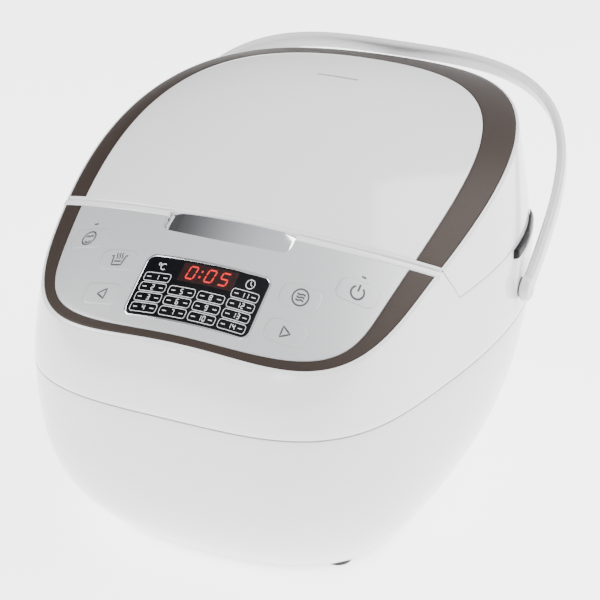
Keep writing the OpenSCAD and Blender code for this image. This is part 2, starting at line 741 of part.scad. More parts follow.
// Lid
module lid_plan(d) {
  intersection() {
    polygon(outline(inset(rim, d)));
    behind_edge(lid_gap / 2 + max(0, d));
  }
}
vent_y = body_y0 + 247.4;
vent_l = 30;
vent_w = 2.6;
valve_r = 17;
lip_x = rim[0] - wall - 1.5;
module lid_shell() {
  color("white") difference() {
    union() {
      intersection() {
        upper_wall();
        lid_side(lid_gap / 2, 0);
      }
      on_dome(skin_t, skin_t + 2.5) lid_plan(wall - 1);
      intersection() {
        on_dome(0, 14) difference() {
          lid_plan(0.6);
          behind_edge(lid_gap / 2 + edge_w);
        }
        union() {
          lid_side(lid_gap / 2, 0);
          box([-lip_x, lip_x], [-far, far], [0, far]);
        }
      }
    }
    translate([0, vent_y, seam_z]) cylinder(r = valve_r + 0.2, h = far);
  }
}
module lid_band() {
  color([0.32, 0.27, 0.25]) on_dome(0, skin_t) difference() {
    lid_plan(edge_w + skin_gap);
    polygon(outline(inlay));
  }
}
module lid_top_panel() {
  color("white") difference() {
    on_dome(0, skin_t) intersection() {
      polygon(outline(inset(inlay, skin_gap)));
      lid_plan(edge_w + skin_gap);
    }
    translate([0, vent_y, seam_z]) linear_extrude(far) round_rect(vent_l, vent_w, vent_w / 2 - eps);
  }
}
cover_z = seam_z + 14.2;
cover_t = 2.5;
knob_r = 9;
thermistor_at = [44, 22];
module lid_inner_cover() {
  color("gainsboro") difference() {
    union() {
      translate([0, 0, cover_z]) linear_extrude(cover_t) intersection() {
        polygon(wall_at(cover_z, wall + 0.5));
        behind_edge(lid_gap / 2 + edge_w + skin_gap);
      }
      translate([0, pot_y, seam_z + 6]) difference() {
        cylinder(r = gasket_r + 3.5, h = cover_z - seam_z - 5);
        translate([0, 0, -eps]) cylinder(r = gasket_r + 1, h = far);
      }
    }
    translate([0, vent_y, 0]) cylinder(r = valve_r + 0.2, h = far);
    translate([thermistor_at[0], pot_y + thermistor_at[1], 0]) cylinder(r = 4, h = far);
    translate([0, pot_y - 20, 0]) cylinder(r = 3, h = far);
    box([-9.4, 9.4], [edge_y, edge_y + 4.2], [0, far]);
    both_sides() box([lid_knuckle[0] - 0.2, lid_knuckle[1] + 0.2], [hinge_y - 4.7, far], [0, far]);
  }
}
module lid_catch() {
  y = edge_y + lid_gap / 2 + edge_w + 0.1;
  color("silver") difference() {
    box([-9, 9], [y, y + 1.6], [hook_z - 5, dome(0, edge_y) - 4]);
    box([-6, 6], [y - 5, y + 5], [hook_z - 2.5, hook_z + 2.5]);
  }
}
module steam_valve() {
  z1 = dome(0, vent_y) - skin_t - 1.2;
  color("dimgray") translate([0, vent_y, 0]) difference() {
    translate([0, 0, cover_z - 6]) cylinder(r = valve_r, h = z1 - cover_z + 6);
    translate([0, 0, cover_z - 4]) cylinder(r = valve_r - 2, h = z1 - cover_z + 1.5);
    translate([0, 0, z1 - 5]) linear_extrude(10) round_rect(vent_l - 2, vent_w, vent_w / 2 - eps);
    for (a = [0:60:300]) rotate(a) translate([9, 0, cover_z - 8]) cylinder(r = 2, h = 6);
  }
}
module lid_heater() {
  color("dimgray") translate([0, pot_y, cover_z + cover_t]) rotate_extrude()
    translate([66, 0]) square([10, 1.5]);
}
module lid_thermistor() {
  color("silver") translate([thermistor_at[0], pot_y + thermistor_at[1], 0]) {
    translate([0, 0, cover_z - 6]) cylinder(r = 3.8, h = 12);
  }
}
inner_lid_z = seam_z + 5;
gasket_r = pot_r + 7;
module inner_lid() {
  color("lightgray") translate([0, pot_y, inner_lid_z]) difference() {
    cylinder(r = gasket_r - 8, h = 1.2);
    translate([0, -20, -1]) cylinder(r = knob_r - 3, h = 4);
    for (a = [0:60:300]) translate([0, vent_y - pot_y, -1]) rotate(a) translate([9, 0, 0])
      cylinder(r = 2, h = 4);
  }
}
module lid_gasket() {
  z0 = deck_top + rim_lift + pot_t + 0.3;
  color("gray") translate([0, pot_y, 0]) rotate_extrude() polygon([[gasket_r - 8, inner_lid_z],
    [gasket_r - 7, z0], [gasket_r - 1, z0], [gasket_r, inner_lid_z + 4], [gasket_r - 10, inner_lid_z + 4],
    [gasket_r - 10, inner_lid_z + 1.2], [gasket_r - 8, inner_lid_z + 1.2]]);
}
module lid_knob() {
  color("gray") translate([0, pot_y - 20, 0]) {
    translate([0, 0, inner_lid_z - 4]) cylinder(r = knob_r, h = 4);
    translate([0, 0, inner_lid_z]) cylinder(r = knob_r - 3, h = 1.2);
    translate([0, 0, inner_lid_z + 1.2]) cylinder(r = knob_r - 2, h = cover_z - inner_lid_z - 1.2);
    translate([0, 0, cover_z]) cylinder(r = 3, h = cover_t);
  }
}

// Hinge
hinge_y = body_y1 - hinge_in;
hinge_z = seam_z + 0.2;
knuckle_r = 4.5;
lid_knuckle = [6.4, 19];
body_knuckle = 6;
module hinge_bracket() {
  color("silver") difference() {
    union() {
      box([-30, 30], [hinge_y - 13.5, hinge_y], [deck_bottom - 3, deck_bottom]);
      box([-body_knuckle, body_knuckle], [hinge_y - 4, hinge_y], [deck_bottom - 3, hinge_z]);
      rod_x(-body_knuckle, body_knuckle, hinge_y, hinge_z, knuckle_r);
    }
    rod_x(-60, 60, hinge_y, hinge_z, pin_r + 0.02);
  }
}
module hinge_arms() {
  z = cover_z + cover_t;
  color("silver") both_sides() difference() {
    union() {
      rod_x(lid_knuckle[0], lid_knuckle[1], hinge_y, hinge_z, knuckle_r);
      box(lid_knuckle, [hinge_y - 4.5, hinge_y + 2.5], [hinge_z + 1, z + 4]);
      box(lid_knuckle, [hinge_y - 46, hinge_y + 2.5], [z, z + 4]);
    }
    rod_x(lid_knuckle[0] - 1, lid_knuckle[1] + 1, hinge_y, hinge_z, pin_r + 0.06);
  }
}
module hinge_pin() {
  color("silver") rod_x(-20, 20, hinge_y, hinge_z, pin_r);
}

// Handle
module pivot_bushes() {
  x1 = handle_hw - strap_t - 0.5;
  color("dimgray") both_sides() {
    rod_x(x1 - 15, x1, pivot_y, pivot_z, bush_r);
    rod_x(x1 - 15, x1 - 12, pivot_y, pivot_z, bush_r + 4);
    rod_x(x1, handle_hw - 0.8, pivot_y, pivot_z, pivot_r);
  }
}
bow_n = 3.4;
eye_r = 8.6;
module handle() {
  function bow(w, l) = [for (i = [0:72]) let (a = 2.5 * i) [w * spow(cos(a), 2 / bow_n), l * spow(sin(a), 2 / bow_n)]];
  outer = bow(handle_hw, handle_l);
  inner = bow(handle_hw - strap_t, handle_l - strap_t);
  color("gainsboro") difference() {
    translate([0, pivot_y, pivot_z]) rotate([-handle_lean, 0, 0]) {
      rotate([90, 0, 0]) linear_extrude(strap_w, center = true)
        polygon(concat(outer, [for (k = [0:72]) inner[72 - k]]));
      for (x = [-handle_hw, handle_hw - strap_t]) rod_x(x, x + strap_t, 0, 0, eye_r);
    }
    rod_x(-far / 2, far / 2, pivot_y, pivot_z, pivot_r + run_gap);
  }
}

module key_cancel() { key(0); }
module key_temperature() { key(1); }
module key_hours() { key(2); }
module key_menu() { key(3); }
module key_minutes() { key(4); }
module key_start() { key(5); }

lower_housing();
upper_housing();
base_plate();
rubber_feet();
base_screws();
power_inlet();
inlet_pins();
condensate_cup();
cup_dock();
hub_caps();
deck();
bay_front_wall();
heat_shield();
side_heater();
heating_plate();
heating_element();
plate_studs();
inner_pot();
sensor_cap();
sensor_spring();
sensor_socket();
thermal_fuse();
power_board();
mains_wires();
control_panel();
panel_band();
panel_carrier();
display_glass();
display_frame();
display_module();
control_board();
board_screws();
tact_switches();
key_cancel();
key_temperature();
key_hours();
key_menu();
key_minutes();
key_start();
open_button();
button_spring();
latch_hook();
latch_pin();
latch_bracket();
lid_shell();
lid_band();
lid_top_panel();
lid_inner_cover();
lid_catch();
steam_valve();
lid_heater();
lid_thermistor();
inner_lid();
lid_gasket();
lid_knob();
hinge_bracket();
hinge_arms();
hinge_pin();
pivot_bushes();
handle();
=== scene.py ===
import json
import math

import bmesh
import bpy
import numpy as np
from mathutils import Matrix, Vector


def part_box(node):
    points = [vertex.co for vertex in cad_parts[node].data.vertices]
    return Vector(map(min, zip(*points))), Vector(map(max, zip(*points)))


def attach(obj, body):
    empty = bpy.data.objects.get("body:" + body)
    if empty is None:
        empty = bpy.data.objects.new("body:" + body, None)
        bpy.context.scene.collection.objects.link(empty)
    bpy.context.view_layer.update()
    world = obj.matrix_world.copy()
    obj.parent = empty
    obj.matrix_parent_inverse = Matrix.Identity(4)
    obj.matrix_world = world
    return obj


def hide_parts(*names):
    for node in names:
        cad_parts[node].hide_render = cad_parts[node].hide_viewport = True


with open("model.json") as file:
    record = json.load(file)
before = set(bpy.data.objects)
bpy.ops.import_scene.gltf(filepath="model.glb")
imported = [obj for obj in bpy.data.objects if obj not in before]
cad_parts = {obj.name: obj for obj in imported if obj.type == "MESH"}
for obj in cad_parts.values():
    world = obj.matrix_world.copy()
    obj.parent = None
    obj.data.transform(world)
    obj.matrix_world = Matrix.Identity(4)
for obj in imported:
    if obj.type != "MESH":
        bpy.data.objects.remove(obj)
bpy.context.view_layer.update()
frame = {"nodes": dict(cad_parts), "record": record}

MM = 0.001

# ---------------------------------------------------------------- camera, light, floor
TARGET = Vector((17.06, -33.0, 134.8)) * MM
AZIMUTH, ELEVATION = math.radians(24.55), math.radians(27.0)
DISTANCE = 1185.69 * MM


def aim(obj, eye, target):
    obj.location = eye
    obj.rotation_euler = (Vector(target) - Vector(eye)).to_track_quat("-Z", "Y").to_euler()


def add_camera():
    data = bpy.data.cameras.new("camera")
    data.lens, data.sensor_width = 110.5, 36.0
    cam = bpy.data.objects.new("camera", data)
    bpy.context.scene.collection.objects.link(cam)
    away = Vector((math.sin(AZIMUTH) * math.cos(ELEVATION),
                   -math.cos(AZIMUTH) * math.cos(ELEVATION), math.sin(ELEVATION)))
    aim(cam, TARGET + away * DISTANCE, TARGET)
    bpy.context.scene.camera = cam


def add_light(name, eye, size, watts, target=(0, 0, 0.12), shape=None, tint=(1, 1, 1)):
    data = bpy.data.lights.new(name, "AREA")
    data.energy, data.size, data.color = watts, size, tint
    if shape:
        data.shape, data.size_y = "RECTANGLE", shape
    lamp = bpy.data.objects.new(name, data)
    bpy.context.scene.collection.objects.link(lamp)
    aim(lamp, eye, target)


def add_world(left, right):
    """Even studio light that is dimmer on the left than on the right."""
    world = bpy.data.worlds.new("studio")
    world.use_nodes = True
    nt = world.node_tree
    where = nt.nodes.new("ShaderNodeTexCoord")
    split = nt.nodes.new("ShaderNodeSeparateXYZ")
    fade = nt.nodes.new("ShaderNodeMapRange")
    fade.interpolation_type = "SMOOTHSTEP"
    fade.inputs["From Min"].default_value, fade.inputs["From Max"].default_value = -0.62, -0.2
    fade.inputs["To Min"].default_value, fade.inputs["To Max"].default_value = left, right
    back = nt.nodes["Background"]
    back.inputs["Color"].default_value = (0.97, 0.98, 1, 1)
    nt.links.new(where.outputs["Generated"], split.inputs[0])
    nt.links.new(split.outputs[0], fade.inputs["Value"])
    nt.links.new(fade.outputs[0], back.inputs["Strength"])
    bpy.context.scene.world = world


add_camera()
add_world(0.12, 0.98)
add_light("softbox_left", (-1.7, -1.0, 1.3), 1.2, 52, shape=1.2)
add_light("softbox_top", (0.75, 0.45, 1.7), 1.4, 50)
add_light("softbox_front", (0.3, -2.3, 0.9), 0.5, 7, shape=0.5)
add_light("softbox_right", (1.9, -0.4, 0.9), 0.5, 7, shape=1.2)

# ---------------------------------------------------------------- sizes, in millimetres
BODY_W, BODY_D, WALL, SKIN_T, SKIN_GAP = 268.0, 360.7, 3.0, 2.0, 0.3
BELT_Z, SEAM_Z, CROWN_H, FOOT_H = 122.9, 173.8, 78.2, 4.0
CUP_OUT, LID_GAP, SILL_W, EDGING_W, CLEARANCE = 6.1, 0.8, 4.0, 1.6, 0.2
INLET_HALF, INLET_Z = 24.0, (16.0, 40.0)
NOTCH_HALF, NOTCH_DEPTH, HINGE_Z = 52.0, 10.4, 174.0
BEHIND, ABOVE = (120.0, 220.0), 220.0
Y_FRONT = -(BODY_D + CUP_OUT) / 2
Y_REAR = Y_FRONT + BODY_D
WAIST = Y_FRONT + 104.4
EDGE_Y, EDGE_BOW, RAKE = Y_FRONT + 90.8, 19.0, 14.3
# half width, front, rear, waist, exponents of front and rear, taper per 100 mm
BELT = (BODY_W / 2, Y_FRONT, Y_REAR, WAIST, 3.76, 2.13, 0.16)
BASE = (BODY_W / 2 - 32.5, Y_FRONT + 41.4, Y_REAR - 30, WAIST + 2, 2.5, 1.9, 0.1)
RIM = (BODY_W / 2 - 5.2, Y_FRONT + 11.1, Y_REAR - 5.6, WAIST + 8.5, 4.0, 1.94, 0.15)
INLAY = (RIM[0] - 22.2, RIM[1] + 5.8, RIM[2] - 48.7, WAIST - 33.9, 3.4, 2.38, 0.16)
RISE_EASE, WALL_EASE = 3.48, 1.56
GLASS_W, GLASS_D, GLASS_R, GLASS_Y, BEZEL_W = 80.0, 35.0, 4.0, Y_FRONT + 42.2, 1.2
BUTTON_W, BUTTON_D, BUTTON_GAP = 84.0, 14.6, 0.6
KEY_W, KEY_D, KEY_R = 25.0, 15.0, 5.0
PIVOT_Y, PIVOT_Z = 27.5, 143.5
HUB_OUT, HUB_Y = 3.8, (Y_FRONT + 201.4, Y_FRONT + 268.4)
KEY_AT = {"key_cancel": (-89.8, 71.5), "key_temperature": (-60.5, 55.9),
          "key_hours": (-60.6, 34.8), "key_menu": (60.5, 55.9),
          "key_minutes": (60.6, 34.8), "key_start": (89.8, 71.5)}
ROUND = 288


# ---------------------------------------------------------------- shape of the body
def spow(v, e):
    return math.copysign(abs(v) ** e, v)


def mix(a, b, t):
    return a + (b - a) * t


def inset(o, d):
    return (o[0] - d, o[1] + d, o[2] - d) + tuple(o[3:])


def oval(o, a):
    n = o[4] if math.sin(a) < 0 else o[5]
    s = spow(math.sin(a), 2 / n)
    y = o[3] + ((o[2] - o[3]) if s > 0 else (o[3] - o[1])) * s
    return o[0] * spow(math.cos(a), 2 / n) * (1 + o[6] * (y - o[3]) / 100), y


def dome(x, y):
    v = (y - Y_FRONT - 150.4) / 100
    u = x / (BODY_W / 2)
    return (SEAM_Z + CROWN_H - 14.8 + 31.1 * v - 15.8 * v * v - 0.75 * v ** 3 + 0.19 * v ** 4
            - (18.9 - 4.3 * v + 8.5 * u * u) * u * u)


def dome_normal(x, y):
    n = Vector((dome(x - 1, y) - dome(x + 1, y), dome(x, y - 1) - dome(x, y + 1), 2.0))
    return n.normalized()


def edge(x):
    return EDGE_Y + EDGE_BOW * min(1.3, abs(x) / RIM[0]) ** 2.6


def lower_point(a, t, d):
    s = 1 - (1 - t) ** RISE_EASE
    o = [mix(BASE[k], BELT[k], s if k < 3 else t) for k in range(7)]
    x, y = oval(inset(o, d), a)
    return x, y, mix(FOOT_H, BELT_Z, t)


def upper_point(a, t, d, drop=0.0):
    bx, by = oval(inset(BELT, d), a)
    rx, ry = oval(inset(RIM, d), a)
    g = t ** WALL_EASE
    return mix(bx, rx, g), mix(by, ry, g), mix(BELT_Z, dome(rx, ry) - drop, t)


def crown_point(a, d, drop):
    x, y = oval(inset(RIM, d), a)
    return x, y, dome(x, y) - drop


def level_t(a, z):
    return (z - BELT_Z) / (upper_point(a, 1, 0)[2] - BELT_Z)


def bisect(f, a, b, steps=44):
    fa = f(a)
    for _ in range(steps):
        m = (a + b) / 2
        if (f(m) > 0) == (fa > 0):
            a = m
        else:
            b = m
    return (a + b) / 2


def even_angles(count, o=BELT, a0=-math.pi / 2, a1=1.5 * math.pi):
    fine = [a0 + (a1 - a0) * i / 9000 for i in range(9001)]
    pts = np.array([oval(o, a) for a in fine])
    run = np.concatenate([[0], np.cumsum(np.hypot(*np.diff(pts, axis=0).T))])
    return list(np.interp(np.linspace(0, run[-1], count + 1), run, fine))


CORNER_Y = EDGE_Y + EDGE_BOW
CORNER_Z = dome(RIM[0], CORNER_Y)


def behind_skirt(p, gap):
    """How far a wall point is behind the raked front edge of the lid's side skirt."""
    k = min(1.0, max(0.0, (p[2] - SEAM_Z) / (CORNER_Z - SEAM_Z)))
    return p[1] - (CORNER_Y + RAKE * (1 - k) + gap)


# ---------------------------------------------------------------- mesh helpers
def finish_mesh(name, bm, material, sharp=32):
    bmesh.ops.remove_doubles(bm, verts=bm.verts, dist=2e-6)
    bmesh.ops.dissolve_degenerate(bm, edges=bm.edges, dist=1e-7)
    bmesh.ops.recalc_face_normals(bm, faces=bm.faces)
    me = bpy.data.meshes.new(name)
    bm.to_mesh(me)
    bm.free()
    me.shade_smooth()
    me.set_sharp_from_angle(angle=math.radians(sharp))
    me.materials.append(material)
    obj = bpy.data.objects.new(name, me)
    bpy.context.scene.collection.objects.link(obj)
    return obj


def solid(name, points, faces, material, sharp=32):
    bm = bmesh.new()
    vs = [bm.verts.new((p[0] * MM, p[1] * MM, p[2] * MM)) for p in points]
    for f in faces:
        bm.faces.new([vs[i] for i in f])
    return finish_mesh(name, bm, material, sharp)


def column_solid(name, columns, material, around=True, loop=True, sharp=32):
    """A solid from columns of points; each column is joined to the next."""
    k = len(columns[0])
    faces = []
    for c in range(len(columns) if around else len(columns) - 1):
        a, b = c * k, ((c + 1) % len(columns)) * k
        for i in range(k if loop else k - 1):
            j = (i + 1) % k
            faces.append((a + i, b + i, b + j, a + j))
    if not around and loop:
        faces.append(tuple(range(k)))
        faces.append(tuple(range((len(columns) - 1) * k, len(columns) * k))[::-1])
    return solid(name, [p for col in columns for p in col], faces, material, sharp)


def join(name, objs):
    bm = bmesh.new()
    mats = []
    for o in objs:
        start = len(bm.faces)
        bm.from_mesh(o.data)
        bm.faces.ensure_lookup_table()
        mat = o.data.materials[0]
        if mat not in mats:
            mats.append(mat)
        for f in bm.faces[start:]:
            f.material_index = mats.index(mat)
    me = bpy.data.meshes.new(name)
    bm.to_mesh(me)
    bm.free()
    for m in mats:
        me.materials.append(m)
    me.set_sharp_from_angle(angle=math.radians(32))
    out = bpy.data.objects.new(name, me)
    bpy.context.scene.collection.objects.link(out)
    for o in objs:
        bpy.data.objects.remove(o)
    return out


def freeze(obj, name=None):
    """Turns modifiers into plain mesh."""
    graph = bpy.context.evaluated_depsgraph_get()
    me = bpy.data.meshes.new_from_object(obj.evaluated_get(graph))
    mats = list(obj.data.materials) if obj.type == "MESH" else []
    obj.modifiers.clear()
    if obj.type == "MESH":
        obj.data = me
        if not me.materials:
            for m in mats:
                me.materials.append(m)
        return obj
    return obj


def cut(obj, *cutters):
    for c in cutters:
        mod = obj.modifiers.new("cut", "BOOLEAN")
        mod.operation, mod.solver, mod.object = "DIFFERENCE", "EXACT", c
    freeze(obj)
    for c in cutters:
        bpy.data.objects.remove(c)
    obj.data.set_sharp_from_angle(angle=math.radians(32))
    return obj


def rounded(w, d, r, steps=8):
    pts = []
    for sx, sy, a0 in ((1, 1, 0), (-1, 1, 90), (-1, -1, 180), (1, -1, 270)):
        for i in range(steps + 1):
            a = math.radians(a0 + 90 * i / steps)
            pts.append((sx * (w / 2 - r) + r * math.cos(a), sy * (d / 2 - r) + r * math.sin(a)))
    return pts


def densify(path, step, closed=True):
    out = []
    n = len(path)
    for i in range(n if closed else n - 1):
        p, q = path[i], path[(i + 1) % n]
        k = max(1, math.ceil(math.dist(p, q) / step))
        out += [(mix(p[0], q[0], j / k), mix(p[1], q[1], j / k)) for j in range(k)]
    return out if closed else out + [path[-1]]


def prism(outline, z0, z1, place=None):
    place = place or (lambda p: p)
    n = len(outline)
    pts = [place((x, y, z)) for z in (z0, z1) for x, y in outline]
    faces = [tuple(range(n))[::-1], tuple(range(n, 2 * n))]
    faces += [(i, (i + 1) % n, n + (i + 1) % n, n + i) for i in range(n)]
    return solid("cutter", pts, faces, PLAIN)


def rear_block(half, depth, z0, z1):
    """A cutter that is open to the rear of the housing."""
    return prism([(-half, depth[0]), (half, depth[0]), (half, depth[1]), (-half, depth[1])], z0, z1)


def dome_patch(name, border, centre, material, lift=0.0, thick=SKIN_T, edge_r=0.4, rings=18,
               shape=None, place=None):
    """A closed plate that follows the dome inside a border, with a rounded edge."""
    shape = shape or (lambda x, y: 0.0)
    place = place or (lambda x, y, h: (x, y, dome(x, y) + h))
    columns = []
    for bx, by in border:
        dx, dy = bx - centre[0], by - centre[1]
        run = math.hypot(dx, dy)

        def at(back, h):
            s = 1 - back / run
            x, y = centre[0] + dx * s, centre[1] + dy * s
            return place(x, y, lift + shape(x, y) + h)
        col = [at(run * (1 - i / rings) + edge_r * i / rings, 0) for i in range(rings + 1)]
        for q in (30, 60, 90):
            a = math.radians(q)
            col.append(at(edge_r * (1 - math.sin(a)), edge_r * (math.cos(a) - 1)))
        col.append(at(0, -thick))
        col += [at(run * i / 4, -thick) for i in range(1, 5)]
        columns.append(col)
    return column_solid(name, columns, material, loop=False)


def edge_strip(name, xs, profile, material):
    """A strip along the lid's front edge; the profile is distance behind it and depth."""
    columns = [[(x, edge(x) + e, z if z > 0 else dome(x, edge(x) + e) + z) for e, z in profile]
               for x in xs]
    return column_solid(name, columns, material, around=False)


def stroke_faces(path, width, closed):
    pts, n = [], len(path)
    for i in range(n):
        p, q = path[i - 1 if closed or i else 0], path[(i + 1) % n if closed else min(i + 1, n - 1)]
        l = math.dist(p, q) or 1
        nx, ny = -(q[1] - p[1]) / l * width / 2, (q[0] - p[0]) / l * width / 2
        pts += [(path[i][0] + nx, path[i][1] + ny), (path[i][0] - nx, path[i][1] - ny)]
    quads = [(2 * i, 2 * i + 1, (2 * i + 3) % (2 * n), (2 * i + 2) % (2 * n))
             for i in range(n if closed else n - 1)]
    return pts, quads


def print_on_dome(name, shapes, material, origin=(0, 0), low=-0.04, high=0.07, lift=0.0):
    """Thin printed marks: each shape is ("line", path, width, closed) or ("fill", outline)."""
    bm = bmesh.new()
    for shape in shapes:
        if shape[0] == "line":
            pts, quads = stroke_faces(densify(shape[1], 1.6, shape[3]), shape[2], shape[3])
        else:
            pts = shape[1]
            quads = [tuple(range(len(pts)))]
        layers = []
        for h in (high, low):
            layers.append([bm.verts.new([c * MM for c in (
                origin[0] + x, origin[1] + y, dome(origin[0] + x, origin[1] + y) + h + lift)])
                for x, y in pts])
        count = {}
        for q in quads:
            bm.faces.new([layers[0][i] for i in q])
            bm.faces.new([layers[1][i] for i in reversed(q)])
            for i in range(len(q)):
                e = (q[i], q[(i + 1) % len(q)])
                count[e] = count.get(e, 0) + 1
        for i, j in count:
            if (j, i) not in count:
                bm.faces.new((layers[0][j], layers[0][i], layers[1][i], layers[1][j]))
    return finish_mesh(name, bm, material)


def arc(cx, cy, r, a0, a1, n=20):
    return [(cx + r * math.cos(math.radians(mix(a0, a1, i / n))),
             cy + r * math.sin(math.radians(mix(a0, a1, i / n)))) for i in range(n + 1)]


def put(piece, body, *nodes, slot=None):
    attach(piece, body)
    if nodes:
        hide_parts(*nodes)
    return piece


# ---------------------------------------------------------------- materials
def finish(name, color, rough, metal=0.0, coat=0.0, coat_rough=0.05, grain=200.0, tone=0.03,
           rough_var=0.04, bump=0.02, stretch=(1, 1, 1), ior=1.5, emit=None, sheen=0.0,
           trans=0.0, subsurface=0.0):
    """A surface finish: colour and roughness vary with noise, and a fine bump follows it."""
    mat = bpy.data.materials.new(name)
    mat.use_nodes = True
    nt = mat.node_tree
    bsdf = nt.nodes["Principled BSDF"]
    new = nt.nodes.new
    link = nt.links.new
    where = new("ShaderNodeTexCoord")
    turn = new("ShaderNodeMapping")
    turn.inputs["Scale"].default_value = stretch
    noise = new("ShaderNodeTexNoise")
    noise.inputs["Scale"].default_value = grain
    noise.inputs["Detail"].default_value = 3.0
    link(where.outputs["Object"], turn.inputs["Vector"])
    link(turn.outputs["Vector"], noise.inputs["Vector"])
    ramp = new("ShaderNodeValToRGB")
    dark = [c * (1 - tone) for c in color]
    light = [min(1.0, c * (1 + tone)) for c in color]
    ramp.color_ramp.elements[0].position, ramp.color_ramp.elements[1].position = 0.3, 0.7
    ramp.color_ramp.elements[0].color = (*dark, 1)
    ramp.color_ramp.elements[1].color = (*light, 1)
    link(noise.outputs["Fac"], ramp.inputs["Fac"])
    link(ramp.outputs["Color"], bsdf.inputs["Base Color"])
    spread = new("ShaderNodeMapRange")
    spread.inputs["To Min"].default_value = max(0.01, rough - rough_var)
    spread.inputs["To Max"].default_value = rough + rough_var
    link(noise.outputs["Fac"], spread.inputs["Value"])
    link(spread.outputs["Result"], bsdf.inputs["Roughness"])
    if bump:
        relief = new("ShaderNodeBump")
        relief.inputs["Strength"].default_value = bump
        relief.inputs["Distance"].default_value = 0.0002
        link(noise.outputs["Fac"], relief.inputs["Height"])
        link(relief.outputs["Normal"], bsdf.inputs["Normal"])
    bsdf.inputs["Metallic"].default_value = metal
    bsdf.inputs["Coat Weight"].default_value = coat
    bsdf.inputs["Coat Roughness"].default_value = coat_rough
    bsdf.inputs["IOR"].default_value = ior
    bsdf.inputs["Sheen Weight"].default_value = sheen
    bsdf.inputs["Transmission Weight"].default_value = trans
    if emit:
        bsdf.inputs["Emission Color"].default_value = (*emit[:3], 1)
        bsdf.inputs["Emission Strength"].default_value = emit[3]
    return mat


PLAIN = bpy.data.materials.new("plain")
WHITE = finish("white_gloss_plastic", (0.74, 0.74, 0.755), 0.17, coat=0.35, grain=900, tone=0.008,
               rough_var=0.02, bump=0.004)
SKIRT = finish("white_skirt_plastic", (0.67, 0.67, 0.687), 0.2, coat=0.3, grain=900, tone=0.008,
               rough_var=0.02, bump=0.004)
BRONZE = finish("brown_metallic_lacquer", (0.034, 0.025, 0.021), 0.4, metal=0.12, ior=1.22,
                grain=2600, tone=0.22, rough_var=0.06, bump=0.02)
SILVER = finish("silver_satin_lacquer", (0.47, 0.475, 0.487), 0.36, metal=0.25, coat=0.2,
                coat_rough=0.2, grain=2800, tone=0.05, rough_var=0.05, bump=0.012)
CHROME = finish("bright_chrome", (0.84, 0.85, 0.87), 0.07, metal=1.0, grain=400, tone=0.01,
                rough_var=0.02, bump=0.002)
GLASS = finish("black_display_glass", (0.004, 0.004, 0.005), 0.06, ior=1.25, grain=300, tone=0.2,
               rough_var=0.02, bump=0.0)
WINDOW = finish("smoked_led_window", (0.02, 0.009, 0.009), 0.12, ior=1.25, grain=300, tone=0.2,
                rough_var=0.02, bump=0.0)
LED_RED = finish("lit_red_segment", (0.4, 0.01, 0.008), 0.4, emit=(1.0, 0.008, 0.01, 0.62),
                 grain=500, tone=0.02, bump=0.0)
PRINT_WHITE = finish("white_screen_print", (0.62, 0.63, 0.64), 0.55, grain=2500, tone=0.05, bump=0.02)
PRINT_GREY = finish("grey_pad_print", (0.05, 0.05, 0.055), 0.55, grain=2500, tone=0.08, bump=0.02)
BLACK = finish("black_gloss_plastic", (0.005, 0.005, 0.006), 0.28, ior=1.2, grain=700, tone=0.1,
               rough_var=0.03, bump=0.004)
HANDLE = finish("handle_light_plastic", (0.56, 0.56, 0.57), 0.2, coat=0.3, grain=900, tone=0.01,
                rough_var=0.03, bump=0.006)
GREY = finish("grey_engineering_plastic", (0.085, 0.085, 0.09), 0.5, grain=1600, tone=0.1, bump=0.12)
LIGHT = finish("light_grey_plastic", (0.62, 0.62, 0.62), 0.42, grain=1400, tone=0.02, bump=0.08)
RUBBER = finish("soft_black_rubber", (0.02, 0.02, 0.02), 0.75, grain=1800, tone=0.15, bump=0.2, sheen=0.2)
SILICONE = finish("grey_silicone", (0.42, 0.42, 0.40), 0.45, grain=600, tone=0.03, bump=0.04)
STEEL = finish("zinc_plated_steel", (0.58, 0.58, 0.6), 0.28, metal=1.0, grain=500, tone=0.06,
               rough_var=0.08, bump=0.03, stretch=(1, 8, 1))
TIN = finish("drawn_sheet_steel", (0.62, 0.62, 0.62), 0.33, metal=1.0, grain=90, tone=0.05,
             rough_var=0.08, bump=0.04, stretch=(1, 1, 10))
CAST = finish("cast_aluminium", (0.6, 0.6, 0.61), 0.5, metal=1.0, grain=900, tone=0.08,
              rough_var=0.1, bump=0.25)
PRESSED = finish("pressed_aluminium", (0.72, 0.72, 0.73), 0.3, metal=1.0, grain=300, tone=0.04,
                 rough_var=0.06, bump=0.03, stretch=(1, 9, 1))
POT = finish("dark_pot_coating", (0.035, 0.035, 0.037), 0.42, grain=3000, tone=0.6, rough_var=0.1,
             bump=0.12)
SHEATH = finish("heat_darkened_steel", (0.09, 0.08, 0.075), 0.55, metal=0.6, grain=250, tone=0.3,
                rough_var=0.12, bump=0.1)
BOARD = finish("green_circuit_board", (0.015, 0.1, 0.04), 0.35, coat=0.3, grain=400, tone=0.15, bump=0.04)
SLEEVE = finish("glass_fibre_sleeve", (0.3, 0.13, 0.06), 0.7, grain=1500, tone=0.2, bump=0.3,
                stretch=(1, 1, 4))
FLOOR = finish("pale_floor", (0.9, 0.9, 0.9), 0.6, grain=40, tone=0.004, bump=0.0,
               emit=(1.0, 1.0, 1.0, 2.8))

SLOT_FINISH = {
    "white_gloss": WHITE, "white_skirt": SKIRT, "brown_satin": BRONZE, "silver_panel": SILVER,
    "bright_chrome": CHROME, "black_glass": GLASS, "black_plastic": BLACK, "grey_plastic": GREY,
    "light_plastic": LIGHT, "handle_plastic": HANDLE, "feet_rubber": RUBBER, "silicone": SILICONE,
    "steel": STEEL, "tin_plate": TIN, "cast_aluminium": CAST, "pressed_aluminium": PRESSED,
    "pot_coating": POT, "element_sheath": SHEATH, "board_green": BOARD, "wire_sleeve": SLEEVE}


